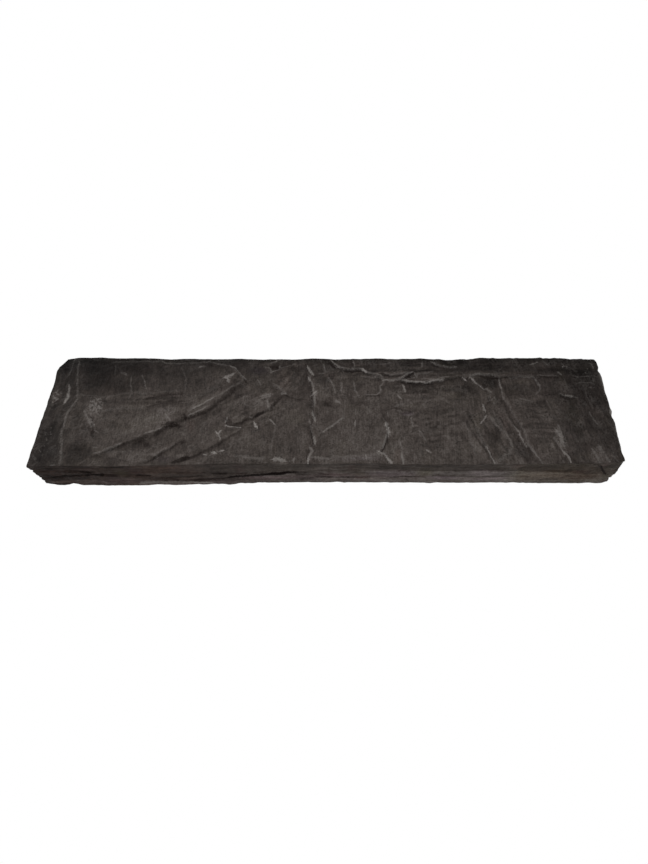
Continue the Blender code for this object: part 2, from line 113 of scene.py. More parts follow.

# Ledges, each with its high side on the left as its line runs: rise, sink, reach, half the step's width,
# strength of the pale lip (bruised wear and painted highlight) and of the dark foot (painted shade), then the
# x and y of each point.
LEDGES = {
    "diagonal_rib": (4.2, 2.2, 30, 2.8, 0, 0.15, -402, -93, -375, -84, -347, -71, -329, -64, -314, -56,
        -298, -50, -277, -36, -252, -17, -229, -10, -211, 0, -185, 27, -167, 43, -150, 58),
    "rib_end": (2, 1.2, 18, 1.1, 0.2, 0.3, -148, 60, -159, 73, -167, 82, -175, 91),
    "lower_left_groove": (2, 1.2, 20, 2.4, 0, 0.3, -307, -106, -296, -99, -285, -88, -270, -79, -261, -71,
        -240, -66),
    "lower_mid_ledge": (1.9, 1, 20, 1.5, 0, 0.15, -259, -106, -248, -101, -238, -97, -220, -90, -211, -84,
        -203, -79, -185, -69, -172, -58, -155, -47, -148, -38),
    "corner_flake": (1.6, 1.6, 14, 1.1, 0, 0.4, -150, -37, -160, -37, -176, -36, -178, -18),
    "mid_groove": (1.8, 1.6, 18, 1.5, 0, 0.2, -172, -34, -155, -28, -146, -23, -131, -18, -122, -10, -106, -3,
        -96, 8, -89, 18, -79, 28),
    "patch_edge": (1.8, 1, 20, 1.6, 0, 0.35, -98, 53, -85, 40, -78, 31, -54, 20, -37, 19),
    "long_crack": (1.9, 1.2, 22, 1.2, 0.1, 0.75, -38, 104, -32, 92, -26, 75, -34, 68, -30, 56, -27, 38,
        -24, 10, -22, -25, -30, -38, -26, -55, -22, -70, -29, -80, -31, -93, -33, -107),
    "centre_flake": (1.2, 0.8, 14, 1.2, 0.1, 0.1, -8, -47, -2, -42, 11, -34, 20, -25, 27, -20, 29, 0),
    "curved_edge": (1.5, 0.8, 20, 1.2, 0.1, 0.15, 105, -106, 96, -91, 90, -87, 97, -72, 104, -52, 104, -30,
        99, -16, 95, 0, 92, 16),
    "back_ledge": (2.6, 1.4, 24, 1.4, 0.12, 0.55, 92, 62, 104, 60, 120, 60, 137, 61, 150, 57, 181, 54,
        196, 58, 215, 62, 245, 68, 264, 70, 283, 75, 318, 69, 345, 70, 385, 69, 400, 67, 428, 64),
    "back_left_flake": (2, 1.2, 18, 1.3, 0.12, 0.6, 9, 107, 15, 98, 24, 91, 36, 87, 65, 87, 73, 80, 92, 74,
        106, 65),
    "back_mid_flake": (1.8, 0.8, 14, 1.3, 0.1, 0.5, 102, 80, 115, 73, 139, 72, 155, 75, 168, 72, 181, 75,
        197, 82),
    "back_branch": (1.4, 0.6, 10, 1.2, 0.1, 0.7, 134, 60, 142, 67, 156, 75),
    "back_notch": (2, 2, 16, 1.3, 0.1, 0.6, 198, 105, 209, 98, 220, 92, 233, 91, 243, 93),
    "top_mid_flake": (1.8, 1.4, 16, 1.4, 0.1, 0.6, -62, 99, -76, 93, -89, 88, -103, 81),
    "right_ridge": (2.2, 1.4, 26, 1.5, 0.05, 0.25, 318, 63, 317, 48, 319, 32, 321, 18, 326, 4, 330, -10,
        337, -28, 343, -46, 347, -72, 354, -90, 363, -110),
    "hollow_edge": (1.4, 2, 18, 1.5, 0, 0.25, 276, -8, 288, 14, 294, 28, 289, 38, 281, 47, 267, 66),
    "short_ridge": (1.4, 0.8, 14, 1.5, 0, 0.2, 280, -108, 274, -92, 271, -78, 264, -55),
    "right_flake": (1.4, 1, 16, 1.2, 0, 0.25, 384, 67, 389, 56, 391, 44, 386, 36, 378, 30),
    "patch_sill": (0.9, 1.3, 12, 1.5, 0, 0.35, 424, 30, 400, 28, 372, 28, 345, 28, 320, 29),
    "right_chip": (1.6, 1.2, 12, 1.1, 0, 0.8, 418, 31, 434, 26, 452, 23),
    "front_scuff": (1.4, 0.8, 14, 1.2, 0, 0.2, 392, -60, 397, -75, 401, -88, 408, -107),
    "small_a": (0.9, 0.4, 9, 1.2, 0, 0.3, 3, 68, 11, 51, 14, 34, 16, 24),
    "small_b": (0.8, 0.4, 8, 1.2, 0, 0.2, 28, 61, 26, 48, 23, 37),
    "small_c": (0.9, 0.4, 9, 1.2, 0, 0.3, 48, 60, 48, 45, 51, 38, 56, 26),
    "small_d": (0.9, 0.4, 9, 1.2, 0, 0.4, 102, 55, 96, 46, 98, 38, 91, 31, 72, 30),
    "small_e": (1.4, 0.8, 9, 1.2, 0, 0.6, 49, 106, 52, 91),
    "small_f": (0.9, 0.7, 8, 1.2, 0, 0.6, 63, 70, 91, 69, 102, 66),
    "small_h": (1, 0.6, 8, 1.1, 0, 0.5, 326, -36, 333, -49, 338, -66, 341, -77),
    "small_k": (0.7, 0.4, 9, 1.4, 0, 0.1, -89, -36, -93, -51, -97, -66, -99, -82, -96, -92),
    "olive_sill": (0.7, 0.7, 9, 1.2, 0, 0.4, 150, -6, 131, -1, 115, -1),
    "left_sill": (1.2, 0.8, 14, 2.2, 0, 0.25, -337, 38, -382, 31, -408, 27, -447, 31),
    "left_shelf": (0.2, 1.2, 12, 2, 0, 0.1, -401, -3, -371, 1, -330, 4),
}

# Ridges (positive) and grooves (negative): height, half width, strength of the painted shade on the floor,
# then the points.
RIBS = {
    "left_crease": (0.9, 2.4, 0, -450, 20, -455, 10, -460, -3, -462, -30, -461, -50, -459, -64, -455, -80,
        -449, -106),
    "left_crease_back": (0.7, 2.2, 0, -465, 112, -462, 81, -458, 62, -454, 44, -450, 20),
    "rib_crest": (0.9, 3, 0, -246, -13, -233, -2, -220, 9, -205, 20, -185, 33, -167, 48),
    "loop": (1.2, 4.5, 0, 290, -20, 296, -38, 307, -51, 314, -66, 311, -80, 303, -92, 288, -102),
    "upper_streak": (-1.2, 3.2, 0.3, -320, 25, -300, 28, -277, 30, -259, 32),
    "streak": (-1.1, 3, 0.3, -330, 17, -300, 15, -277, 18),
    "lower_streak": (-1, 2.6, 0.3, -321, 5, -298, 11, -270, 14, -255, 16),
    "soft_hollow": (-1.4, 8, 0.15, -15, 10, 25, 11, 70, 13),
    "pit_row": (-1.4, 2.6, 0.4, -420, -15, -412, -27, -407, -48),
}

# Bruised pale lines: half width, strength, then the points.
PALE_LINES = (
    # the left facet and its crease
    (1.4, 0.22, -474, 112, -476, 88, -480, 76),
    (1.8, 0.22, -465, 112, -462, 81, -458, 62, -454, 44, -450, 22),
    (1.9, 0.38, -450, 21, -455, 10, -460, -3, -462, -16, -462, -36),
    (1.9, 0.32, -463, -36, -461, -50, -458, -64, -455, -80), (2, 0.36, -455, -80, -451, -94, -449, -106),
    (1.9, 0.55, -472, 51, -469, 38), (2.8, 0.7, -470, 34, -468, 29, -473, 18),
    (2.1, 0.25, -503, -87, -498, -95), (1.3, 0.4, -465, -108, -458, -108),
    # the left field
    (1.9, 0.4, -432, -4, -426, -14, -421, -24, -416, -30),
    (1.6, 0.13, -447, 31, -408, 28, -382, 31, -340, 37), (1.9, 0.2, -401, -3, -371, 1, -330, 4),
    (1.2, 0.25, -362, 70, -360, 53, -355, 38, -357, 22), (2.1, 0.28, -379, 79, -371, 75),
    (1.2, 0.3, -342, 73, -335, 57, -329, 44), (1.3, 0.16, -270, 92, -262, 70, -259, 57, -257, 42),
    (1.3, 0.22, -314, 107, -303, 102, -272, 101), (1.3, 0.12, -395, 96, -392, 78),
    (1.6, 0.14, -342, 32, -303, 36, -270, 38), (1.6, 0.35, -400, -76, -396, -77),
    (1.3, 0.4, -403, -44, -399, -46), (1.5, 0.4, -395, -88, -381, -84, -366, -78, -355, -71),
    (2.1, 0.2, -373, -86, -352, -85, -334, -84), (1.2, 0.45, -286, -12, -277, -25),
    # the diagonal rib and what lies under it
    (1.6, 0.48, -314, -51, -298, -46, -288, -40), (1.5, 0.55, -238, 1, -220, 10, -205, 21),
    (1.2, 0.5, -246, -13, -233, -7, -217, 3), (2.1, 0.24, -205, 21, -186, 34, -167, 49, -156, 61),
    (1.4, 0.26, -220, 105, -207, 100, -192, 97, -181, 94),
    (1.3, 0.6, -180, 94, -172, 91, -165, 81, -159, 73, -150, 65), (1.2, 0.2, -400, 104, -350, 105, -314, 104),
    (1.2, 0.26, -272, 101, -245, 103, -220, 104), (2.2, 0.5, -118, 27, -105, 31),
    (1.6, 0.45, -116, 22, -104, 26), (2.1, 0.4, -238, 91, -229, 93),
    (2.6, 0.75, -189, 67, -183, 70, -174, 74), (2.4, 0.7, -184, 69, -181, 59),
    (1.4, 0.35, -127, 62, -123, 53), (1, 0.85, -210, -90, -207, -90), (1.8, 0.95, -197, -86, -193, -87),
    (1.7, 0.9, -183, -84, -180, -83), (1.4, 0.9, -194, -47, -190, -52, -186, -45),
    (1.3, 0.7, -190, -52, -185, -62), (1.4, 0.6, -176, -18, -178, -28),
    (1.4, 0.9, -177, -35, -168, -36, -154, -36), (2.6, 1, -127, -31, -125, -35),
    (1.4, 0.24, -150, 14, -148, 8, -139, 5, -128, 7, -120, 14), (1.4, 0.18, -146, 18, -133, 19, -120, 20),
    (1.9, 0.48, -108, 16, -105, -1), (1.4, 0.35, -137, -16, -134, -17), (1.3, 0.22, -112, -4, -113, -14),
    (1.9, 0.3, -315, -99, -309, -101), (2.4, 0.25, -299, -90, -292, -92), (2.1, 0.22, -254, -92, -248, -94),
    # round the long crack
    (1.3, 0.42, -106, 101, -98, 104, -89, 108), (1.3, 0.3, -116, 92, -107, 90, -102, 82),
    (1.4, 0.5, -103, 81, -89, 88, -88, 94), (1.4, 0.26, -86, 92, -74, 93, -63, 99),
    (2.6, 0.3, -97, 52, -85, 42, -76, 34), (1.6, 0.5, -82, 33, -75, 32),
    (2.1, 0.8, -35, 92, -32, 84, -27, 75), (1.4, 0.7, -34, 69, -31, 60),
    (1.8, 0.5, -28, 56, -25, 48, -25, 38), (2.4, 0.85, -26, 31, -21, 35), (1.9, 0.5, -24, 27, -23, 5),
    (1.9, 0.62, -26, -8, -24, -17, -21, -26), (1.2, 0.36, -32, -23, -31, -38, -27, -54),
    (1.7, 0.62, -25, -57, -22, -70), (2, 0.5, -30, -77, -26, -86, -32, -95), (1.5, 0.9, -33, -99, -33, -107),
    (1.4, 0.4, -6, 97, -4, 86), (1.3, 0.25, -15, 77, 2, 83), (1.4, 0.65, -100, -23, -94, -31),
    (1.9, 0.18, -90, -36, -93, -51, -97, -66, -99, -82, -96, -92),
    (2.8, 0.3, -155, -95, -132, -97, -109, -98), (1.1, 0.26, -149, -92, -149, -105),
    (3.2, 0.8, -89, -100, -83, -99, -76, -101), (1.6, 0.5, -58, -102, -57, -97),
    (2.1, 0.4, -31, -95, -18, -97, 0, -100), (1.4, 0.45, -14, -98, 0, -99),
    # the middle
    (1.7, 0.55, 9, 107, 15, 99, 22, 92, 31, 90), (1.4, 0.42, 31, 89, 48, 88, 65, 88),
    (1.8, 0.9, 67, 87, 73, 81), (1.5, 0.42, 74, 81, 81, 78, 92, 75, 101, 71), (1.3, 0.34, 50, 105, 52, 92),
    (1.4, 0.26, 63, 70, 91, 69, 102, 66), (1.4, 0.36, 107, 78, 115, 74, 128, 73, 139, 73, 150, 76),
    (1.6, 0.6, 104, 60, 111, 62, 120, 60, 137, 62),
    (1.5, 0.82, 140, 61, 150, 58, 173, 57, 181, 55, 196, 60, 212, 62),
    (1.4, 0.62, 135, 62, 141, 68, 150, 74, 158, 77), (1.4, 0.5, 163, 73, 166, 66),
    (1.4, 0.34, 168, 73, 181, 75, 196, 82), (1.4, 0.36, 179, 64, 203, 64, 207, 67, 224, 68),
    (1.3, 0.42, 102, 55, 96, 46, 99, 38, 91, 31, 72, 30), (1.5, 0.38, 48, 58, 50, 40, 56, 27),
    (1.4, 0.36, 3, 68, 11, 51, 14, 34), (1.6, 0.36, 26, 55, 25, 38), (1.3, 0.16, 0, 64, -3, 44),
    (1.7, 0.7, 140, 49, 142, 38), (1.4, 0.6, 128, 27, 133, 22), (1.8, 0.35, 122, 5, 137, 10),
    (1.3, 0.32, 126, -5, 132, -6), (1.5, 0.62, -8, -47, -2, -42, 11, -34, 20, -25, 27, -20),
    (1.7, 0.62, 49, -27, 48, -34), (1.8, 0.14, 29, -4, 29, -16), (1.3, 0.35, 50, -2, 49, -12),
    (2.7, 1, 103, -31, 106, -50), (1.5, 0.6, 102, -54, 99, -65, 94, -78),
    (2.5, 0.95, 89, -88, 96, -91, 102, -101, 106, -106), (1.3, 0.16, 68, -73, 81, -82),
    (2.2, 0.26, 9, -96, 50, -95, 93, -93), (1.4, 0.6, 63, -94, 64, -101), (2.2, 0.55, 126, -92, 128, -106),
    (1.4, 0.36, 123, -66, 126, -80), (1.6, 0.7, 170, -84, 174, -87), (1.6, 0.42, 148, -20, 150, -34),
    (1.4, 0.35, 161, -47, 170, -67), (1.4, 0.36, 107, -9, 107, -14), (2.4, 0.12, 92, 14, 91, 2),
    (2, 0.45, 16, 16, 21, 13), (1.4, 0.3, 100, 98, 108, 99, 121, 101),
    # the right
    (1.4, 0.42, 198, 105, 209, 98, 220, 92, 233, 91, 242, 93), (1.8, 0.4, 178, 101, 177, 93),
    (1.8, 0.95, 253, 66, 255, 65), (1.4, 0.2, 253, 74, 266, 74), (1.5, 0.5, 264, 69, 272, 73, 283, 75),
    (1.4, 0.38, 283, 75, 298, 73, 320, 69), (1.4, 0.18, 303, 73, 324, 79),
    (2.4, 0.75, 269, 64, 274, 55, 285, 44), (1.8, 0.42, 293, 42, 298, 36), (1.5, 0.36, 294, 28, 293, 22),
    (2.4, 0.7, 279, 5, 281, -3), (1.4, 0.75, 281, -15, 277, -21, 272, -30),
    (3.2, 0.26, 262, -38, 265, -58, 272, -80), (1.6, 0.75, 272, -79, 275, -92, 280, -108),
    (3.2, 0.32, 290, -21, 298, -36, 309, -50, 316, -66, 315, -80, 306, -92, 291, -102),
    (3.4, 0.22, 301, -24, 307, -47, 312, -62), (1.4, 0.5, 318, 63, 317, 49, 318, 42),
    (1.2, 0.3, 318, 40, 319, 28, 321, 18),
    (1.4, 0.2, 321, 18, 326, 4, 330, -10, 337, -28, 343, -46, 345, -68),
    (1.1, 0.6, 327, -36, 333, -49, 338, -66, 341, -77), (1.4, 0.44, 345, -70, 353, -88, 363, -111),
    (2.4, 0.22, 242, -32, 247, -50, 248, -76, 253, -96), (1.8, 0.3, 338, 67, 355, 69, 377, 68, 386, 67),
    (2.1, 0.34, 386, 62, 390, 50), (1.8, 0.2, 390, 44, 386, 37, 379, 31), (1.3, 0.2, 392, 72, 425, 70),
    (1.4, 0.4, 385, 99, 397, 104), (1.4, 0.3, 410, 105, 416, 98), (1.5, 0.36, 498, 101, 500, 92),
    (1.9, 0.45, 431, 77, 434, 74), (1.4, 0.28, 462, 71, 465, 70), (1.3, 0.22, 460, 55, 478, 56, 492, 55),
    (1.1, 0.22, 471, 70, 498, 71), (1.4, 0.2, 438, 60, 439, 38), (1.2, 0.35, 423, 31, 430, 28),
    (1.3, 0.6, 430, 28, 436, 27), (1.4, 0.55, 437, 27, 443, 25), (1.1, 0.35, 444, 25, 452, 23),
    (1.3, 0.32, 349, 19, 358, 16, 371, 14), (1.3, 0.22, 397, 14, 401, -1),
    (1.3, 0.3, 468, -8, 471, -17, 477, -31), (1.3, 0.16, 471, 51, 471, 27, 477, 1),
    (1.6, 0.4, 405, -35, 407, -52), (3.4, 0.55, 400, -48, 403, -56, 404, -72),
    (1.1, 0.36, 392, -60, 397, -75, 401, -86), (1.4, 0.2, 408, -58, 411, -76),
    (1.5, 0.75, 401, -87, 407, -97, 409, -108), (3.4, 0.42, 455, -88, 460, -108),
    (3, 0.38, 467, -80, 476, -104), (2, 0.75, 508, 3, 506, -14), (1.5, 0.4, 507, -18, 506, -50, 504, -85),
    (1.4, 0.3, 508, 84, 508, 52, 507, 28), (1.9, 0.26, 486, -94, 491, -104), (1.9, 0.2, 448, -97, 452, -108),
)

# Painted shade, in the same way: dark hairline cracks, shadowed grooves and pits, and shadows at ledges'
# feet.
SHADE_LINES = (
    (1.3, 0.6, -362, -77, -347, -71, -337, -67, -329, -64, -314, -56), (5, 0.6, -324, -64, -311, -70),
    (2.2, 0.6, -298, -51, -288, -43, -277, -36), (4.4, 0.85, -279, -33, -262, -34),
    (2.4, 0.78, -253, -13, -251, -19), (1.4, 0.4, -245, -16, -229, -11, -212, -1, -200, 6),
    (3, 0.6, -228, -9, -215, -7), (1.2, 0.52, -238, -1, -219, 7),
    (5, 0.22, -200, 13, -186, 26, -168, 40, -156, 52), (3, 0.39, -394, -94, -362, -99, -340, -103),
    (3, 0.31, -410, 20, -396, 15, -380, 16), (1.4, 0.72, -420, -15, -412, -27, -406, -46),
    (3, 0.95, -408, -46, -407, -51), (2.4, 0.65, -287, 0, -285, -3),
    (1.5, 0.59, -307, -106, -296, -99, -285, -88, -270, -79, -261, -71), (3.2, 0.55, -259, -69, -244, -65),
    (3, 0.85, -259, -105, -248, -101, -238, -97),
    (1, 0.4, -238, -97, -220, -90, -203, -79, -185, -69, -172, -58, -155, -47, -150, -40),
    (3.2, 0.65, -174, -24, -168, -30),
    (1.2, 0.6, -172, -34, -155, -28, -146, -23, -131, -18, -122, -10, -113, -6),
    (2, 0.6, -101, -3, -96, 8, -89, 18, -81, 28), (1.2, 0.5, -86, 26, -78, 30, -72, 27, -54, 20, -37, 19),
    (2.6, 0.7, -322, 22, -300, 27, -277, 30, -262, 32), (2.2, 0.6, -303, 15, -288, 14, -277, 18),
    (2, 0.65, -321, 5, -298, 11, -270, 14, -255, 16), (2.6, 0.3, -376, 14, -350, 13, -325, 15),
    (2, 0.78, -152, 62, -148, 56), (1.4, 0.52, -165, 66, -160, 74), (4, 0.78, -103, 92, -93, 92),
    (1.4, 0.52, -76, 92, -66, 86), (2, 0.39, -230, 99, -195, 93, -170, 98), (2, 0.33, -60, 30, -46, 34),
    (2, 0.6, -39, 96, -37, 78, -37, 66), (1.5, 0.59, -28, 67, -15, 72),
    (1.4, 0.7, -31, -34, -28, -57, -25, -70), (1.2, 0.62, -31, 58, -29, 42, -28, 24, -27, 4),
    (1.8, 0.6, -32, -84, -36, -98), (1.3, 0.45, -150, -38, -131, -37), (3.2, 0.75, 0, 104, 9, 98, 16, 92),
    (2.6, 0.75, 35, 84, 60, 83), (2.2, 0.75, 47, 106, 49, 93), (2.6, 0.8, 102, 75, 120, 69, 137, 69),
    (1.6, 0.47, 70, 66, 90, 63), (2.2, 0.85, 139, 56, 173, 53, 192, 53), (2.6, 0.95, 142, 63, 154, 72),
    (1.5, 0.75, 72, 26, 96, 28), (1.6, 0.52, 115, -1, 131, -1, 148, -6), (1.4, 0.33, 96, -4, 112, -3),
    (1.3, 0.34, 56, -22, 53, -40, 50, -52), (1, 0.66, 106, -51, 102, -66, 96, -80, 92, -86),
    (1.5, 0.29, 0, 50, 8, 36), (3.4, 0.5, -2, 12, 6, 6), (4.4, 0.4, 48, 12, 66, 13),
    (1.4, 0.2, 30, -84, 36, -88), (2.6, 0.85, 286, 71, 300, 69, 318, 65),
    (1.6, 0.85, 389, 70, 401, 68, 425, 66), (1.8, 0.52, 199, 99, 210, 92, 222, 88),
    (1.4, 0.52, 210, 64, 224, 64), (1.8, 0.34, 190, 88, 205, 80), (1.6, 0.85, 425, 28, 442, 22),
    (2, 0.39, 322, 28, 345, 28), (1.5, 0.34, 395, 34, 418, 32), (3, 0.5, 284, -30, 290, -52, 300, -78),
    (1.8, 0.34, 296, -52, 303, -72), (2.6, 0.5, 320, -45, 328, -66, 333, -86),
    (2.4, 0.39, 330, -90, 340, -108), (1.8, 0.31, 276, -40, 283, -64), (2.2, 0.45, 410, -96, 419, -107),
    (1.6, 0.23, 252, -48, 262, -72), (1.6, 0.39, 470, -26, 474, -34), (1.6, 0.39, 340, 72, 372, 73),
    (2, 0.31, 350, 94, 372, 86, 400, 84), (1.4, 0.18, 8, -96, 60, -100, 100, -104),
    (2.2, 0.34, -62, 32, -50, 43, -41, 56), (2.6, 0.3, -60, 92, -50, 76, -45, 62),
    (1.4, 0.3, -160, -20, -150, -12, -136, -4), (1.4, 0.3, -136, 34, -120, 26, -112, 20),
)

# Soft patches: x, y, half length, half width, change of tone, warmth, olive tint (violet if below 0) and turn
# in degrees. Zeros at the end of a row are left out, here and in WALL_PATCHES. Most are the stone's own tone
# and tints; the dark ones along the diagonal rib's foot, the streak grooves and the soft hollow are painted
# shade.
PATCHES = (
    (-305, -22, 62, 17, 0.36, 0, 0.12, 26), (-222, 12, 34, 7, 0.2, 0, 0.15, 38),
    (-300, -62, 70, 9, -0.12, 0, 0, 30), (-405, 88, 85, 22, -0.52, 0.35), (-440, 105, 40, 8, -0.35),
    (-395, 52, 85, 20, -0.42, 0.2), (-285, 56, 46, 44, -0.18), (-415, 2, 20, 22, 0.3),
    (-430, -22, 12, 9, 0.25), (-425, -84, 24, 24, -0.42, 0.1, 0.1), (-350, -88, 26, 6, 0.15),
    (-295, -84, 22, 7, 0.25, 0, 0.1, 15), (-278, -99, 16, 7, 0.05, -0.3, -0.5),
    (-240, -32, 8, 16, -0.02, 0.4), (-185, 12, 30, 12, -0.18, 0, 0, 38), (-205, 42, 34, 12, -0.22, 0, 0, 38),
    (-128, 84, 20, 9, -0.12, -0.2, -0.9), (-78, 60, 16, 20, 0.18, 0.3), (-50, 62, 14, 24, -0.25, 0, 0, 60),
    (-132, -12, 26, 10, -0.12, 0, 0, 20), (-108, 28, 10, 9, 0.4, 0.1), (-55, -25, 16, 9, 0, 0, 0.2),
    (-10, 36, 11, 18, 0.15, 0, 0.3), (-8, 62, 16, 10, -0.36), (0, 9, 20, 6, -0.2), (52, 12, 22, 6, -0.15),
    (-55, -50, 45, 45, 0.08), (45, -55, 55, 55, 0.2), (30, 45, 90, 45, 0.22),
    (35, -101, 64, 5, 0.1, -0.3, -0.2), (118, -93, 7, 14, 0, 0.35), (20, 96, 40, 12, -0.1),
    (155, 92, 60, 14, -0.24), (240, 98, 30, 8, -0.1, 0, 0.9), (300, 92, 60, 18, -0.46),
    (155, 6, 26, 7, 0.12, 0, 0.35, 5), (142, -11, 14, 5, 0, -0.2, -0.9), (232, 28, 15, 8, 0.05, 0, 0.3),
    (205, 42, 60, 9, -0.2), (262, 42, 26, 14, -0.2), (302, 56, 19, 14, -0.46),
    (296, -55, 10, 34, -0.2, 0, 0, -20), (262, -32, 12, 24, 0.02, 0, 0.6),
    (333, -86, 12, 24, -0.28, 0, 0, 25), (312, -30, 9, 30, -0.18, 0.2, 0, 20),
    (372, -40, 26, 65, -0.1, 0, 0, 15), (352, 43, 34, 15, -0.38, 0, 0.1), (364, 58, 26, 5, -0.1, 0, 0.5),
    (385, 84, 80, 9, -0.32, 0.1), (440, -25, 14, 50, -0.2, 0, 0.5), (436, 72, 7, 36, -0.1, 0.2, 0.7),
    (470, 30, 32, 60, -0.3, 0.15), (478, 84, 28, 26, -0.3, -0.4, 0.1), (498, -55, 8, 34, -0.2, -0.5, 0.1),
    (468, -96, 32, 13, 0.34, 0.1, 0.2), (412, -85, 14, 20, -0.12, 0.1), (-492, 32, 9, 17, 0.5, 0.3),
    (-484, -88, 22, 22, -0.28, 0.1, -0.2), (-490, 95, 14, 14, -0.3), (-482, -50, 26, 60, -0.3, -0.2, -0.1),
    (-482, 100, 20, 16, -0.38), (-425, 76, 34, 34, -0.36), (-430, -92, 34, 24, -0.32, 0.1),
    (-350, 92, 60, 24, -0.12), (-330, 66, 70, 20, -0.1), (-235, 52, 30, 34, -0.13), (-350, -30, 40, 22, -0.1),
    (-122, 58, 22, 20, -0.18), (-60, 102, 34, 9, 0.6), (-60, -32, 26, 24, -0.14), (0, 70, 24, 20, -0.12),
    (60, 102, 40, 9, 0.55), (60, 0, 26, 16, -0.12), (122, -88, 34, 22, 0.14), (240, 100, 30, 12, -0.5),
    (240, 70, 30, 20, -0.14), (244, 42, 26, 16, -0.2), (180, 74, 24, 14, -0.1), (300, -40, 26, 50, -0.14),
    (362, 10, 34, 26, -0.14), (360, 58, 26, 9, 0.2), (360, 94, 36, 16, -0.14), (420, 102, 26, 9, 0.3),
    (422, -25, 22, 22, -0.14), (420, -76, 22, 22, -0.12), (482, 99, 28, 14, 0.9), (-180, -95, 40, 10, -0.08),
    (-375, 15, 34, 9, -0.2, 0, 0, 2), (-290, 16, 45, 4, -0.24, 0, 0, 5), (-290, 28, 40, 3, -0.22, 0, 0, 3),
    (190, -75, 45, 32, 0.1, -0.2, 0.1), (-210, 100, 60, 6, -0.2), (258, 42, 15, 11, -0.28, 0.1),
    (297, 56, 19, 13, -0.34, 0.1), (326, -66, 7, 30, -0.28, 0, 0, 18), (291, -58, 8, 24, -0.24, 0, 0, -18),
    (-300, -50, 30, 12, 0.18, 0, 0, 25), (-125, 102, 24, 8, 0.2), (462, 41, 24, 9, -0.26, 0.2),
    (-325, -70, 15, 7, -0.24, 0, 0, 20), (50, -99, 46, 5, 0.2, -0.3, -0.2),
)

WARM_STEP, TINT_STEP = 0.6, 0.7  # what a warmth or a tint of 1 in these rows adds

# The split face's tone across the slab (against y) and along it (against x): painted shade, darker towards
# the back and the two ends, where the light falls off.
PAINTED_SHADE_ACROSS = ((-110, 1), (0, 1), (30, 0.9), (60, 0.78), (80, 0.62), (98, 0.48), (106, 0.3), (114, 0.22))
PAINTED_SHADE_ALONG = ((-510, 0.62), (-460, 0.78), (-440, 0.74), (-400, 0.88), (-330, 1), (385, 1), (410, 0.78),
              (435, 0.64), (510, 0.5))
FACET_SHADE = 0.3  # how much darker the left facet is

# Where the face is drawn out in streaks: x, y, half length, half width, direction of the streaks in degrees,
# their length and width, change of tone.
STREAKS = (
    (288, -55, 62, 62, -70, 28, 3.2, 0.52), (330, -85, 40, 40, -68, 40, 6, 0.2),
    (372, -25, 40, 60, 2, 22, 3.2, 0.32), (-280, 62, 150, 52, -80, 34, 4, 0.16),
    (-340, -25, 80, 50, 78, 30, 4, 0.14), (300, 90, 230, 24, 1, 44, 4, 0.36),
    (205, 30, 70, 24, 1, 30, 3.4, 0.32), (-320, -85, 110, 30, 32, 40, 6, 0.24),
    (-320, 17, 100, 20, 3, 60, 4.5, 0.42), (-140, 0, 75, 60, 30, 24, 3.8, 0.34),
    (180, -20, 80, 80, 12, 24, 5, 0.32), (470, 0, 45, 110, -72, 30, 4, 0.26),
    (-485, 0, 25, 110, 80, 22, 5, 0.34), (30, 40, 60, 40, -80, 26, 5, 0.16),
    (110, 80, 130, 30, 8, 24, 3.8, 0.42), (-72, 62, 30, 36, 52, 24, 4, 0.34),
    (120, -45, 50, 45, 60, 20, 3.6, 0.24), (180, -80, 60, 30, -55, 20, 3.6, 0.2),
)
STREAK_HEIGHT = 1.1

# Where the split came away smooth (x, y, half length, half width), and how much of its relief is lost there.
SMOOTH_PART, SMOOTHED = (-345, 76, 130, 40), 0.65

# Where the face is peppered with pale specks: x, y, half length, half width, strength and, if any, turn.
SPECKS = (
    (-415, 6, 20, 24, 1), (-415, -28, 6, 22, 0.9, 28), (-108, 28, 12, 12, 0.8), (-355, -98, 30, 9, 0.35),
    (-75, -101, 22, 6, 0.6), (404, -66, 9, 34, 0.8), (470, -96, 30, 16, 0.4), (445, 96, 14, 14, 0.45),
    (20, 88, 60, 22, 0.3), (150, 72, 60, 26, 0.35), (295, 25, 16, 22, 0.5), (-188, -55, 14, 14, 0.3),
    (120, -60, 60, 45, 0.22), (-130, -60, 60, 40, 0.2), (-28, 20, 8, 90, 0.4), (-300, -92, 40, 12, 0.35, 10),
    (-492, 32, 11, 17, 1), (-195, -88, 24, 6, 0.6), (30, 30, 40, 25, 0.3), (485, 60, 20, 50, 0.3),
    (-240, -30, 20, 25, 0.25), (330, -60, 30, 45, 0.3, 10), (52, -101, 44, 6, 0.4), (-132, -98, 24, 5, 0.45),
    (-14, -98, 16, 5, 0.6), (-485, -60, 20, 50, 0.3),
)

# Chips out of the top edge and its corners: x, y, radius, depth.
CHIPS = ((-331, 113, 14, 0.8), (-122, 111, 15, 1), (60, 111, 12, 0.9), (221, 112, 15, 1.2),
         (330, 114, 13, 0.9), (508, 85, 9, 1.5), (508, -22, 8, 1.6), (510, -109, 17, 2), (128, -110, 13, 1.4),
         (62, -110, 11, 1.2), (-16, -110, 17, 1.2), (-78, -110, 13, 1.4))

# ---------------------------------------------------------------- the walls

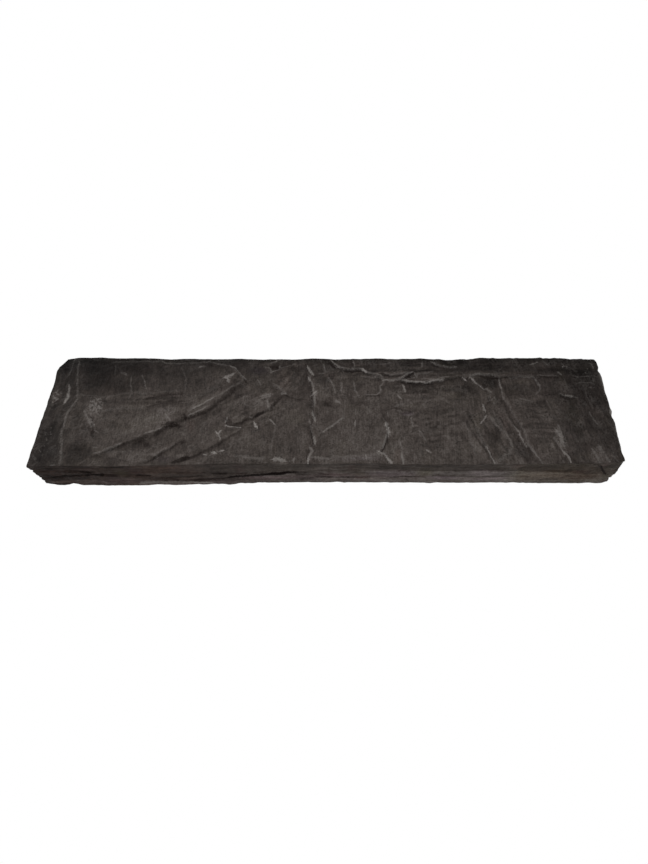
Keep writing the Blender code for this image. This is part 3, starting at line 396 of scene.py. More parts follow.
# Each bed between two layers, from the top one down: its height against x on the front wall and on the back.
BEDS = (
    (((-503, 55), (-445, 61), (-425, 57), (-405, 55), (-340, 55), (-250, 51), (-200, 47), (-176, 45),
      (-140, 46), (-100, 50), (-50, 54), (-20, 52), (182, 54), (320, 54), (345, 51), (370, 51), (400, 49),
      (430, 43), (500, 34)),
     ((-506, 52), (-300, 55), (-60, 50), (160, 54), (340, 49), (506, 44))),
    (((-503, 26), (-480, 35), (-450, 44), (-440, 46), (-420, 45), (-410, 48), (-393, 48), (-376, 46),
      (-336, 42), (-311, 42), (-290, 33), (-265, 25), (-240, 22), (-220, 24), (-190, 27), (-170, 35),
      (-155, 36), (-143, 36), (-130, 39), (-100, 43), (-75, 47), (-50, 49), (-38, 48), (-20, 43), (0, 38),
      (20, 37), (320, 42), (500, 28)),
     ((-506, 33), (-330, 36), (-90, 33), (120, 37), (330, 32), (506, 29))),
    (((-503, 13), (-400, 35), (-330, 32), (-300, 24), (-262, 17), (-230, 16), (-190, 21), (-150, 19),
      (-60, 26), (-18, 28), (42, 26), (112, 29), (184, 31), (240, 34), (326, 29), (400, 30), (500, 16)),
     ((-506, 17), (-200, 14), (60, 20), (300, 15), (506, 18))),
)
# How deep each bed is open, in the same way.
BED_GAPS = (
    (((-506, 0.8), (-400, 1), (-200, 0.5), (-120, 0.2), (506, 0.2)),
     ((-506, 1.2), (0, 2.2), (506, 1))),
    (((-506, 0.8), (-460, 1.6), (-380, 1.6), (-330, 0.8), (-300, 0.3), (-250, 0.8), (-150, 1.8), (-60, 1.8),
      (-35, 0.8), (0, 0.4), (506, 0.4)),
     ((-506, 1), (-180, 3.4), (60, 1), (506, 2))),
    (((-506, 0.5), (-200, 0.5), (-20, 0.8), (320, 0.8), (350, 0.3), (506, 0.3)),
     ((-506, 1), (200, 2), (506, 1))),
)
BED_WANDER = 2.0
BED_SNAP = 1.3  # the points nearer to a bed than this are drawn to it
BED_SQUEEZE = 0.12  # how much of their spacing the points drawn to a bed keep

LAYER_PROUD = (0.0, 1.2, 2.0, 0.6)  # from the top layer down
LAYER_WANDER, LAYER_BREAK = 1.0, 0.9
BACK_ROUGHNESS = 1.9
# The faces' lamination and crumbling, and the bands of tone in them, which vary in height as well.
LAMINAE = ((0.55, (44, 44, 4.5), 62, 0.25), (0.4, (12, 12, 7), 63, 0.2))
CRUMBLE = ((0.25, (5, 5, 3), 64),)
BANDS = ((0.17, (30, 30, 3.5), 65, 0.2),)
# Near a corner the walls grow more even: within what distance, and the share of their unevenness left at it.
CORNER_REACH, CORNER_SHARE = 40, 0.3

ARRIS_FALL, ARRIS_WEAR = 3.0, 0.72
FOOT_HEIGHT, FOOT_LEAST = 3.2, 0.8
FOOT_SWELLS = ((1.5, 17, 41), (1, 6, 42))
FOOT_INSET = 4.5
FOOT_NOTCH = ((-506, 0), (-468, 0), (-460, 3.4), (-450, 3.4), (-442, 0), (506, 0))
FOOT_OUT, FOOT_TOP = 1.2, (3, 14)  # how far the front's broken foot stands out, and up to what height
# Where the front's right corner has split off, in x and z, how deep, and how soon it gets that deep.
SPALL = ((449, 81), (459, 76), (472, 59), (489, 37), (501, 19))
SPALL_DEPTH, SPALL_RUN = 1.5, 26
CORNER_SWELL = 5.0  # how far the front right corner swells out to the right at the middle of its height
CORNER_SWELL_Y, CORNER_SWELL_Z = (-108, -70), (40, 25)

# Each layer's tone against x, from the top layer down, then the walls' warmth and olive tint.
LAYER_TONES = (
    ((-506, 0.38), (-330, 0.66), (-250, 0.78), (-100, 0.8), (0, 0.95), (200, 0.8), (350, 0.92), (430, 0.86),
     (506, 0.7)),
    ((-506, 0.45), (-250, 0.8), (-150, 0.88), (-50, 1.2), (0, 1.5), (240, 2.1), (330, 1.9), (400, 1.8),
     (506, 1.2)),
    ((-506, 0.45), (-200, 0.8), (-100, 1.3), (50, 1.7), (320, 1.9), (400, 1.9), (506, 1.3)),
    ((-506, 0.6), (-340, 0.9), (-200, 1.1), (0, 1.4), (100, 1.7), (300, 1.8), (400, 1.6), (506, 1.3)),
)
WALL_WARMTH = ((-506, 0.6), (-250, 0.5), (-210, 0.1), (-60, 0), (320, 0), (340, 0.2), (506, 0.15))
WALL_OLIVE = ((-506, 0), (310, 0), (335, 0.5), (470, 0.5), (506, 0.3))

# Soft patches on the front wall: x, z, half length, half height, change of tone, warmth and olive tint. Most
# are the wall's own tone and tints; the pale bands at z 48 to 57 are painted light that lifts the shade along
# the top bed, and the dark bands just under the top edge in the middle are painted shade.
WALL_PATCHES = (
    (-483, 43, 26, 26, -0.1, 0.9), (-472, 34, 12, 10, -0.25, 0.8), (-418, 68, 24, 8, 0.12, 0.3, -0.5),
    (-355, 54, 15, 14, 0.05, -0.5, 1.3), (-331, 54, 14, 12, 0, 0.3, -0.6),
    (-371, 36, 22, 12, 0.05, -0.3, -0.6), (-372, 17, 60, 8, 0.12, 0.2, -0.9),
    (-290, 69, 40, 14, 0.08, 0.5, 0.2), (-274, 42, 32, 8, 0.15, -0.6), (-189, 17, 34, 8, 0.05, 0.4, -0.8),
    (-108, 27, 52, 11, 0.2, 0.5, -0.7), (-40, 25, 26, 14, 0.05, -0.1, -0.2), (-152, 58, 8, 20, 0, 0.5, -0.3),
    (12, 37, 34, 12, -0.05, 0.5, -0.5), (25, 46, 9, 8, -0.05, -0.3, 0.4), (58, 41, 14, 10, 0, 0.1, 0.6),
    (60, 24, 14, 4, 0, 1.3), (110, 43, 48, 14, 0.02, 0.2, -0.8), (168, 46, 15, 20, 0.02, 0, 0.9),
    (211, 48, 26, 10, 0.02, -0.5, -0.1), (205, 24, 30, 10, 0.1, 0.2, -0.9),
    (278, 46, 44, 12, 0.05, 0.2, -0.7), (289, 21, 42, 6, 0.25, 0.4, -0.9), (150, 9, 190, 4, -0.06, -0.2, 0.1),
    (40, 64, 10, 12, 0.1, 0.4, -0.2), (323, 73, 13, 12, 0.08, 0.7, -0.1), (403, 52, 28, 5, -0.25, 0.5, 0.6),
    (444, 47, 18, 6, -0.3, 0.9, -0.3), (367, 36, 46, 14, 0.05, 0.1, 0.2), (438, 30, 40, 12, -0.05, 0.3, 0.1),
    (418, 8, 100, 5, -0.12, -0.4, -0.1), (490, 58, 12, 22, 0.1, -0.3, 0.1), (474, 70, 8, 8, 0.15, 0.5, -0.7),
    (495, 29, 9, 14, -0.1, -0.6, 0.5), (10, 57, 60, 6, 0.5, 0.2), (82, 55, 46, 4.5, 0.6, 0.1),
    (150, 54, 52, 3, 0.3, 0.1), (20, 77, 110, 4, -0.12), (150, 75, 46, 4.5, -0.25), (186, 69, 26, 4, -0.18),
    (299, 53, 26, 4, 0.35), (-299, 53, 20, 4, 0.3), (-479, 66, 22, 6, -0.52), (-479, 36, 20, 6, -0.45),
    (-477, 28, 20, 5, -0.22), (-478, 12, 22, 5, 0.65), (-420, 75, 26, 4.5, -0.46), (-360, 75, 26, 4.5, -0.18),
    (-239, 36, 26, 5, -0.24), (-300, 4, 40, 3, 0.7), (-185, 3, 28, 4, -0.55), (359, 33, 26, 12, -0.17),
    (390, 78, 50, 4.5, 0.22), (483, 40, 14, 5, 0.25), (480, 13, 20, 4, 0.25), (420, 3, 36, 3, 0.6),
    (60, 17, 24, 4, 0.24), (150, 48, 50, 3, 0.15), (-60, 31, 26, 4, -0.15), (-60, 53, 26, 4.5, 0.4),
    (90, 10, 60, 3.5, 0.25), (-120, 35, 30, 4, -0.12), (60, 26, 250, 20, 0, 0.4, -0.3),
    (423, 36, 80, 32, 0, 0.35), (-328, 45, 120, 40, 0, 0.18),
)
# Painted shade in cracks, open seams and under the top edge of the front wall, then its bruised pale marks:
# half width, strength, then the x and z of each point.
WALL_SHADE_LINES = (
    (3.2, 1.5, -462, 36, -447, 43), (2.2, 1.1, -447, 43, -435, 47, -417, 45),
    (2.8, 1.4, -417, 45, -409, 48, -389, 48), (2.8, 0.6, -389, 48, -371, 45), (1.7, 0.72, -439, 64, -429, 62),
    (2.4, 1.1, -429, 62, -422, 56, -411, 55, -402, 54), (2.5, 0.6, -389, 81, -381, 80),
    (3, 1.3, -383, 79, -369, 78, -357, 76, -348, 77), (2.3, 0.6, -477, 69, -460, 71),
    (2, 1, -334, 43, -309, 42), (3.4, 0.48, -421, 43, -420, 31), (3.4, 0.42, -435, 41, -430, 36),
    (3, 0.5, -328, 26, -302, 32, -284, 32), (2.8, 0.7, -284, 32, -260, 37, -239, 37, -223, 37),
    (2.3, 0.66, -312, 20, -288, 20, -260, 23, -239, 20), (2.8, 0.6, -239, 20, -219, 25, -189, 28, -169, 34),
    (2.8, 1.6, -172, 32, -158, 35), (4, 2.4, -158, 35, -150, 35, -134, 37),
    (3.2, 2.1, -143, 35, -130, 38, -100, 43, -76, 45), (2.4, 1.3, -76, 45, -67, 46),
    (2.2, 1, -67, 46, -53, 46), (2, 0.75, -53, 46, -38, 46), (2.3, 0.36, -37, 48, -22, 44, -12, 39),
    (1.8, 0.36, -261, 51, -230, 48, -200, 47), (2.3, 0.85, -198, 46, -176, 45),
    (1.5, 0.36, -178, 45, -160, 45, -140, 45), (1.8, 0.24, -298, 52, -261, 50), (3.2, 0.54, -52, 39, -36, 39),
    (3.2, 0.6, -47, 18, -33, 23), (1.8, 0.72, -502, 6, -468, 8), (1.5, 0.5, -100, 8, -60, 7, -12, 8),
    (1.3, 0.25, 0, 8, 60, 8), (1.6, 0.4, 74, 8, 92, 8), (2.2, 0.85, -18, 29, 0, 26, 20, 26, 42, 25),
    (2.5, 0.78, 42, 25, 70, 25), (1.8, 0.8, 72, 29, 86, 29), (2.2, 0.7, 86, 29, 112, 26),
    (2.5, 0.74, 114, 25, 128, 28, 150, 29, 160, 32), (2.8, 0.74, 160, 32, 183, 33),
    (2.5, 0.6, 185, 35, 214, 33, 239, 31), (2, 0.55, 239, 31, 260, 34, 284, 29, 311, 30),
    (1.8, 0.3, 311, 30, 325, 32), (2, 0.54, 40, 45, 56, 47, 67, 46), (1.7, 0.36, 85, 46, 96, 45),
    (2, 0.43, 143, 49, 144, 43), (1.7, 0.36, 150, 49, 151, 45), (2.3, 0.38, 206, 46, 215, 46, 222, 46),
    (1.6, 0.84, 141, 17, 144, 13), (3.7, 0.54, -18, 38, -10, 39), (1.8, 0.54, -12, 37, 0, 38),
    (2.1, 0.48, 28, 78, 46, 75), (2.3, 0.48, 86, 80, 130, 79, 182, 80), (3.4, 0.36, 177, 75, 185, 72),
    (2.1, 0.72, 448, 81, 459, 76, 471, 62), (1.7, 1.2, 469, 64, 477, 52, 489, 37),
    (1.6, 0.36, 489, 37, 496, 26), (1.5, 0.48, 328, 66, 343, 64), (1.5, 0.36, 329, 60, 341, 58),
    (2.8, 0.48, 382, 19, 395, 16, 410, 18), (2.5, 0.36, 422, 34, 431, 33), (3.4, 0.3, 18, 58, 30, 55),
    (2.5, 0.3, 0, 77, 2, 66), (1.6, 0.15, 245, 54, 319, 54),
)
WALL_PALES = (
    (5, 0.5, -331, 10, -320, 12, -304, 12, -288, 11), (2.5, 0.3, -323, 18, -302, 17),
    (5, 0.44, -288, 11, -270, 14, -249, 13, -236, 13), (2, 0.3, -259, 22, -245, 17),
    (3.4, 0.8, -236, 11, -220, 11, -209, 10), (2, 0.4, -449, 21, -443, 22), (2.4, 0.2, -427, 18, -421, 19),
    (2.4, 0.2, -412, 19, -405, 18), (2.2, 0.3, -398, 16, -395, 13), (2.5, 0.2, -386, 11, -381, 12),
    (2.2, 0.16, -360, 12, -355, 15), (2.6, 0.16, -496, 11, -486, 14),
    (2.2, 0.1, -401, 53, -387, 54, -369, 54), (1.6, 0.07, -416, 40, -395, 47),
    (1.8, 0.14, -138, 49, -132, 46), (1.7, 0.3, -112, 33, -104, 32), (1.6, 0.14, -128, 32, -126, 29),
    (2, 0.2, -145, 14, -143, 11), (1.8, 0.32, -6, 48, -3, 43), (2.2, 0.3, -20, 22, -12, 19),
    (1.4, 0.2, -13, 25, -12, 10), (2, 0.07, -45, 45, -22, 42), (2.4, 0.2, 14, 19, 24, 19),
    (2, 0.26, 24, 19, 27, 13), (1.8, 0.14, 58, 50, 70, 51, 82, 50), (1.5, 0.26, 82, 51, 83, 46),
    (2, 0.1, 100, 38, 125, 38), (3, 0.09, 100, 14, 125, 16, 150, 17), (3.2, 0.26, 163, 22, 171, 19),
    (2, 0.2, 168, 22, 170, 14), (3.6, 0.17, 187, 24, 200, 22, 214, 15), (1.6, 0.2, 185, 19, 188, 26),
    (2.4, 0.07, 189, 50, 214, 51), (2, 0.12, 239, 38, 260, 40, 278, 41),
    (3.2, 0.17, 257, 22, 274, 22, 299, 21, 327, 21), (3, 0.14, 239, 18, 249, 21), (2, 0.12, 239, 26, 261, 26),
    (2, 0.1, 333, 24, 334, 16), (2.2, 0.1, 390, 11, 398, 11), (2.4, 0.13, 408, 11, 431, 12),
    (2.4, 0.2, 158, 7, 165, 6), (2, 0.2, 172, 8, 183, 6), (2, 0.3, -510, 72, -501, 72),
)
# The seams of open beds get painted shade.
SEAM_DEPTH = 2.2  # a bed that is open this deep has the darkest seam
SEAM_SHARE = 0.35  # how much of that seam shows on the front, where the cracks are drawn

# ---------------------------------------------------------------- numbers over the surface

MIX = (374761393, 668265263, 1103515245, 974634777)
MIX_AGAIN = 1274126177
WORD = 0xFFFFFFFF
LATTICE_START = (97.3, 53.1, 31.7)


def along(table, where):
    """Reads a table of (position, value) pairs at the given positions, with straight lines between them."""
    positions, values = np.transpose(np.array(table, float))
    return np.interp(where, positions, values)


def smooth(low, high, value):
    """Rises from 0 at low to 1 at high, level at both ends: 3t^2 - 2t^3."""
    t = np.clip((value - low) / (high - low), 0, 1)
    return t * t * (3 - 2 * t)


def lattice(i, j, k, seed):
    """A repeatable number from -1 to 1 for each triple of whole numbers, by mixing their bits."""
    n = (i * MIX[0] + j * MIX[1] + k * MIX[2] + seed * MIX[3]) & WORD
    n = ((n ^ (n >> 13)) * MIX_AGAIN) & WORD
    return ((n ^ (n >> 16)) & 0xFFFF) / 32767.5 - 1


def swell(x, y, size, seed, block=0.0, z=None):
    """Unevenness from -1 to 1: lattice numbers, eased from one to the next, and level for the share block.

    With z it varies in height as well. The size is one spacing, or one for each axis.
    """
    spacing = (size,) * 3 if np.isscalar(size) else size
    u, v = x / spacing[0] + LATTICE_START[0], y / spacing[1] + LATTICE_START[1]
    i, j = np.floor(u).astype(np.int64), np.floor(v).astype(np.int64)
    fu, fv = smooth(block, 1 - block, u - i), smooth(block, 1 - block, v - j)

    def level(k):
        """The blend of the four lattice numbers round the point, at one height."""
        near = lattice(i, j, k, seed) * (1 - fu) + lattice(i + 1, j, k, seed) * fu
        far = lattice(i, j + 1, k, seed) * (1 - fu) + lattice(i + 1, j + 1, k, seed) * fu
        return near * (1 - fv) + far * fv

    if z is None:
        return level(0)
    w = z / spacing[2] + LATTICE_START[2]
    k = np.floor(w).astype(np.int64)
    fw = smooth(block, 1 - block, w - k)
    return level(k) * (1 - fw) + level(k + 1) * fw


def swells(x, y, kinds, z=None):
    """Several kinds of unevenness together, each given by its height, size, seed and any level share."""
    return sum(height * swell(x, y, *kind, z=z) for height, *kind in kinds)


def turned(x, y, centre_x, centre_y, degrees):
    """Coordinates along and across a direction, from a centre."""
    c, s = math.cos(math.radians(degrees)), math.sin(math.radians(degrees))
    return (x - centre_x) * c + (y - centre_y) * s, (y - centre_y) * c - (x - centre_x) * s


def oval(x, y, centre_x, centre_y, length, width, turn=0, rim=(0.35, 1.35)):
    """1 inside an oval patch and 0 outside it. Its rim is soft between the two given shares of its size."""
    u, v = turned(x, y, centre_x, centre_y, turn)
    return 1 - smooth(*rim, np.hypot(u / length, v / width))


# ---------------------------------------------------------------- lines on the surface


def wiggled(x, y):
    """The place at which lines are looked up: it strays by a millimetre or two, so that none is straight."""
    return x + swells(x, y, STRAY_X), y + swells(x, y, STRAY_Y)


def from_line(x, y, points):
    """Signed distance to a line of points (positive on its left), the share of it run, and the way off it."""
    p = np.reshape(points, (-1, 2)).astype(float)
    step = np.diff(p, axis=0)
    length = np.hypot(step[:, 0], step[:, 1])
    rx, ry = x[:, None] - p[:-1, 0], y[:, None] - p[:-1, 1]
    t = np.clip((rx * step[:, 0] + ry * step[:, 1]) / length**2, 0, 1)
    ox, oy = rx - t * step[:, 0], ry - t * step[:, 1]
    distance = np.hypot(ox, oy)
    side = np.sign(step[:, 0] * ry - step[:, 1] * rx)
    near = distance.argmin(axis=1)
    pick = (np.arange(len(x)), near)
    run = np.concatenate([[0], np.cumsum(length)[:-1]])
    share = (run[near] + t[pick] * length[near]) / length.sum()
    away = np.stack([ox[pick], oy[pick]]) / np.maximum(distance[pick], 1e-6)
    return distance[pick] * side[pick], share, away


def close_to(x, y, points, margin):
    """The indices of the points within a margin of a line's own box, so that the rest can be passed over."""
    p = np.reshape(points, (-1, 2))
    low, high = p.min(axis=0) - margin, p.max(axis=0) + margin
    return np.flatnonzero((x > low[0]) & (x < high[0]) & (y > low[1]) & (y < high[1]))


def beside(x, y, points, margin):
    """The indices of the points close to a line, their distances to it, and its fade: 0 at its two ends."""
    some = close_to(x, y, points, margin)
    distance, share, _ = from_line(*wiggled(x[some], y[some]), points)
    return some, distance, smooth(0, END_SHARE, np.minimum(share, 1 - share))


def drawn_lines(x, y, lines):
    """The distance to the line that shows most at each point, in its half widths, and its strength there."""
    off, strength = np.full(len(x), Skin.MARKS["line"]), np.zeros(len(x))
    shows = np.zeros(len(x))
    for half_width, full, *points in lines:
        some = close_to(x, y, points, 4 * half_width)
        distance = from_line(x[some], y[some], points)[0] / half_width
        here = full * (1 - smooth(*LINE_ENDS, np.abs(distance)))
        visible = here * np.exp(-(distance**2) / 3)
        more = visible > shows[some]
        chosen = some[more]
        off[chosen], strength[chosen], shows[chosen] = distance[more], here[more], visible[more]
    return off, strength


# ---------------------------------------------------------------- the stone's skin


class Skin:
    """Points of the stone's surface, and at each the numbers that its finish reads."""

    MARKS = {"edge": 40.0, "pale": 0.0, "dark": 0.0, "tone": 1.0, "warm": 0.0, "olive": 0.0, "violet": 0.0,
             "line": 9.0, "line_strength": 0.0, "crack": 9.0, "crack_strength": 0.0, "speck": 0.0, "bed": 0.0}

    def __init__(self, x, y, z):
        self.x, self.y, self.z = x, y, z
        for mark, start in self.MARKS.items():
            setattr(self, mark, np.full(len(x), start))

    def paint(self, some, x, y, patches):
        """Changes the tone and the tints of some points in soft oval patches."""
        for patch in patches:
            *place, tone, warm, olive, turn = (*patch, 0, 0, 0)[:8]
            share = oval(x, y, *place, turn)
            self.tone[some] *= 1 + tone * share
            self.warm[some] += WARM_STEP * warm * share
            self.olive[some] += TINT_STEP * max(olive, 0) * share
            self.violet[some] += TINT_STEP * max(-olive, 0) * share

    def keep_nearest(self, some, distance, pale, dark):
        """Gives some points this line's distance and strengths, where no other line lies nearer."""
        nearer = (np.abs(distance) < np.abs(self.edge[some])) & (pale + dark > 0.02)
        chosen = some[nearer]
        self.edge[chosen], self.pale[chosen], self.dark[chosen] = distance[nearer], pale[nearer], dark[nearer]


def plan(a, b, front, back, left, right):
    """Places a point at shares a of the length and b of the width, between four uneven sides."""
    x_even, y_even = (2 * a - 1) * HALF_LENGTH, (2 * b - 1) * HALF_WIDTH
    x = along(left, y_even) * (1 - a) + along(right, y_even) * a
    y = along(front, x_even) * (1 - b) + along(back, x_even) * b
    return x, y


def snap_to_ledges(x, y):
    """Moves the points beside each narrow ledge on to its lip or its foot, so that its step stays crisp."""
    for _, _, _, slope, _, _, *points in LEDGES.values():
        if slope >= CRISP:
            continue
        some = close_to(x, y, points, 3 * SNAP_REACH)
        distance, share, away = from_line(*wiggled(x[some], y[some]), points)
        near = (np.abs(distance) < SNAP_REACH) & (share > 0.02) & (share < 0.98)
        shift = np.where(near, slope - np.abs(distance), 0.0)
        x[some] += away[0] * shift
        y[some] += away[1] * shift


def ledge_height(distance, rise, sink, reach, slope):
    """A step at the line: one side climbs to it, the other dips at its foot, and both fade over reach."""
    step = smooth(-slope, slope, distance)
    high = rise * np.exp(-np.maximum(distance, 0) / reach)
    low = sink * np.exp(-np.maximum(-distance, 0) / (0.5 * reach))
    return high * step - low * (1 - step)


def evenness(x, y):
    """1 over most of the split, and less where it came away smooth."""
    return 1 - SMOOTHED * oval(x, y, *SMOOTH_PART, rim=(0.6, 1.3))


def riven(x, y):
    """The scaly relief of the split: broad unevenness cut into terraces, drawn out one way at each end.

    Returns its height, and the distance to the nearest terrace edge in mm.
    """
    to_left, to_right = smooth(*LEFT_FROM, x), smooth(*RIGHT_FROM, x)
    centre = 1 - to_left - to_right

    def field(x, y):
        """The unevenness that the terraces are cut from."""
        left = swells(*turned(x, y, 0, 0, LEFT_TURN), LEFT_SCALES)
        right = swells(*turned(x, y, 0, 0, RIGHT_TURN), RIGHT_SCALES)
        return TERRACES * (to_left * left + to_right * right + centre * swells(x, y, MID_SCALES))

    level = field(x, y)
    slope = np.hypot(field(x + 1, y) - level, field(x, y + 1) - level) + 0.02
    step = level - np.floor(level)
    height = np.floor(level) + smooth(0.4, 0.6, step)
    return TERRACE_RISE * height * evenness(x, y), (step - 0.5) / slope


def streaking(x, y):
    """Long narrow unevenness within each patch of STREAKS, about -0.3 to 0.3."""
    total = 0 * x
    for seed, (*place, turn, long, wide, strength) in enumerate(STREAKS):
        u, v = turned(x, y, *place[:2], turn)
        lines = swell(u, v, (long, wide), 110 + seed, 0.15)
        lines += 0.4 * swell(u, v, (0.4 * long, 0.45 * wide), 130 + seed)
        total += strength * oval(x, y, *place, rim=(0.4, 1.3)) * lines
    return total


def top_height(x, y):
    """The split face: a nearly level plane with its facets, ledges, ribs, scaly relief and chipped edges."""
    z = THICKNESS + swells(x, y, TOP_SWELLS)
    past_crease = np.clip((along(LEFT_CREASE, y) - x) / LEFT_RUN, 0, 1.1)
    z -= LEFT_DROP * past_crease * (1 - LEFT_FADED * smooth(*LEFT_FADE, y))
    z -= BACK_FALL * smooth(*BACK_FALL_Y, y) * smooth(*BACK_FALL_X, x)
    z -= END_FALL * smooth(*END_FALL_X, x)
    for rise, sink, reach, slope, _, _, *points in LEDGES.values():
        some, distance, fade = beside(x, y, points, 4 * reach)
        uneven = 1 + 0.35 * swell(x[some], y[some], 24, 6)
        z[some] += uneven * fade * ledge_height(distance, rise, sink, reach, slope)
    for height, half_width, _, *points in RIBS.values():
        some, distance, fade = beside(x, y, points, 3 * half_width)
        z[some] += height * fade * np.exp(-((distance / half_width) ** 2))
    for chip_x, chip_y, radius, depth in CHIPS:
        z -= depth * oval(x, y, chip_x, chip_y, radius, radius, rim=(0.2, 1))
    return z + STREAK_HEIGHT * streaking(x, y) + riven(x, y)[0]


def mark_top(skin):
    """Stores what the split face's finish needs: its lines, scratches, cracks, specks and patches of tone,
    with painted shade and light round its ledges, grooves and terraces, and painted shade towards its back
    and ends.
    """
    x, y = skin.x, skin.y
    at_x, at_y = wiggled(x, y)
    broken = np.clip(0.7 + 0.7 * swell(x, y, 15, 94, 0.2), 0, 1.2)
    for rise, _, reach, slope, pale, dark, *points in LEDGES.values():
        some, distance, fade = beside(x, y, points, 2 * reach)
        off, behind = np.abs(distance) / reach, distance > 0
        # Paler behind the lip, as wear and painted light on the raised side; painted shade at the foot.
        skin.tone[some] += LIP_WEAR_AND_LIGHT * rise * fade * behind * np.exp(-off / LIP_REACH)
        skin.tone[some] -= FOOT_SHADE * dark * fade * ~behind * np.exp(-off / FOOT_REACH)
        fade *= broken[some]
        skin.keep_nearest(some, distance / slope, pale * fade, dark * fade)
    # The grooves' floors get painted shade.
    for _, half_width, dark, *points in RIBS.values():
        some, distance, fade = beside(x, y, points, 12)
        skin.keep_nearest(some, -2.4 * np.abs(distance) / half_width, 0 * fade, dark * fade * broken[some])
    skin.line, skin.line_strength = drawn_lines(at_x, at_y, PALE_LINES)
    skin.crack, skin.crack_strength = drawn_lines(at_x, at_y, SHADE_LINES)
    skin.paint(slice(None), at_x, at_y, PATCHES)
    for *place, strength, turn in ((*row, 0)[:6] for row in SPECKS):
        skin.speck = np.maximum(skin.speck, strength * oval(at_x, at_y, *place, turn, rim=(0.2, 1.3)))
    free = np.abs(skin.edge) > 6
    shows = broken * evenness(x, y)
    skin.edge = np.where(free, riven(x, y)[1], skin.edge)
    # Elsewhere each terrace edge gets a painted highlight on its lip and painted shade at its foot.
    skin.pale = np.where(free, TERRACE_LIP_HIGHLIGHT * shows, skin.pale)
    skin.dark = np.where(free, TERRACE_FOOT_SHADE * shows, skin.dark)
    skin.tone *= 1 + streaking(at_x, at_y)
    skin.tone *= 1 - FACET_SHADE * smooth(-3, 10, along(LEFT_CREASE, y) - x)
    # Painted shade: darker towards the back and the two ends.
    skin.tone *= along(PAINTED_SHADE_ACROSS, at_y) * along(PAINTED_SHADE_ALONG, at_x)


# ---------------------------------------------------------------- the walls and the underside


def rim_shares():
    """The shares (a, b) of the points round the rim, anticlockwise from the front left corner."""
    a, b = np.linspace(0, 1, CELLS_ALONG + 1), np.linspace(0, 1, CELLS_ACROSS + 1)
    front = np.stack([a[:-1], 0 * a[:-1]])
    right = np.stack([1 + 0 * b[:-1], b[:-1]])
    back = np.stack([a[:0:-1], 1 + 0 * a[:-1]])
    left = np.stack([0 * b[:-1], b[:0:-1]])
    return np.concatenate([front, right, back, left], axis=1)


def rim_spots():
    """Where each rim point stands in the top face's own list of points."""
    i, j = np.arange(CELLS_ALONG + 1), np.arange(CELLS_ACROSS + 1)
    wide = CELLS_ALONG + 1
    front, back = i, i + CELLS_ACROSS * wide
    left, right = j * wide, j * wide + CELLS_ALONG
    return np.concatenate([front[:-1], right[:-1], back[:0:-1], left[:0:-1]])


def roughness(y):
    """1 on the dressed front, and up to BACK_ROUGHNESS on the ends and the back."""
    return 1 + (BACK_ROUGHNESS - 1) * smooth(-HALF_WIDTH, -0.5 * HALF_WIDTH, y)


def bed_value(tables, x, y):
    """A bed's height or gap anywhere on the rim, eased from its front table to its back one."""
    front, back = tables
    share = (y + HALF_WIDTH) / (2 * HALF_WIDTH)
    return along(front, x) * (1 - share) + along(back, x) * share


def corner_ease(x, y):
    """0 at the four upright corners, rising to 1 by CORNER_REACH away from them."""
    return smooth(0, CORNER_REACH, np.hypot(HALF_LENGTH - np.abs(x), HALF_WIDTH - np.abs(y)))


def layer_face(layer, x, y):
    """How far a layer's face stands out at each rim point, in broken blocks and less so near the corners."""
    wander = LAYER_WANDER * swell(x, y, 64, 20 + layer) + LAYER_BREAK * swell(x, y, 27, 30 + layer, 0.34)
    corner = CORNER_SHARE + (1 - CORNER_SHARE) * corner_ease(x, y)
    return (LAYER_PROUD[layer] + roughness(y) * wander) * corner


def split_in_layers(z, x, y):
    """Draws the points near each bed to it.

    Returns the heights, each point's layer, how deep its bed is open, and its height above the nearest bed.
    """
    layer, open_depth = np.zeros(z.shape, int), np.zeros(z.shape)
    nearest = np.full(z.shape, Skin.MARKS["edge"])
    for bed, (heights, gaps) in enumerate(zip(BEDS, BED_GAPS)):
        height = bed_value(heights, x, y) + (roughness(y) - 0.8) * BED_WANDER * swell(x, y, 45, 70 + bed)
        height += 0.5 * swell(x, y, 9, 76)
        worn = np.clip(0.85 + (0.8 * roughness(y) - 0.6) * swell(x, y, 33, 80 + bed), 0, 1.7)
        at_bed = np.abs(z - height) < BED_SNAP
        layer += (z < height) & ~at_bed
        z = np.where(at_bed, height + BED_SQUEEZE * (z - height), z)
        open_depth = np.where(at_bed, bed_value(gaps, x, y) * worn, open_depth)
        nearest = np.where(np.abs(z - height) < np.abs(nearest), z - height, nearest)
    return z, layer, open_depth, nearest


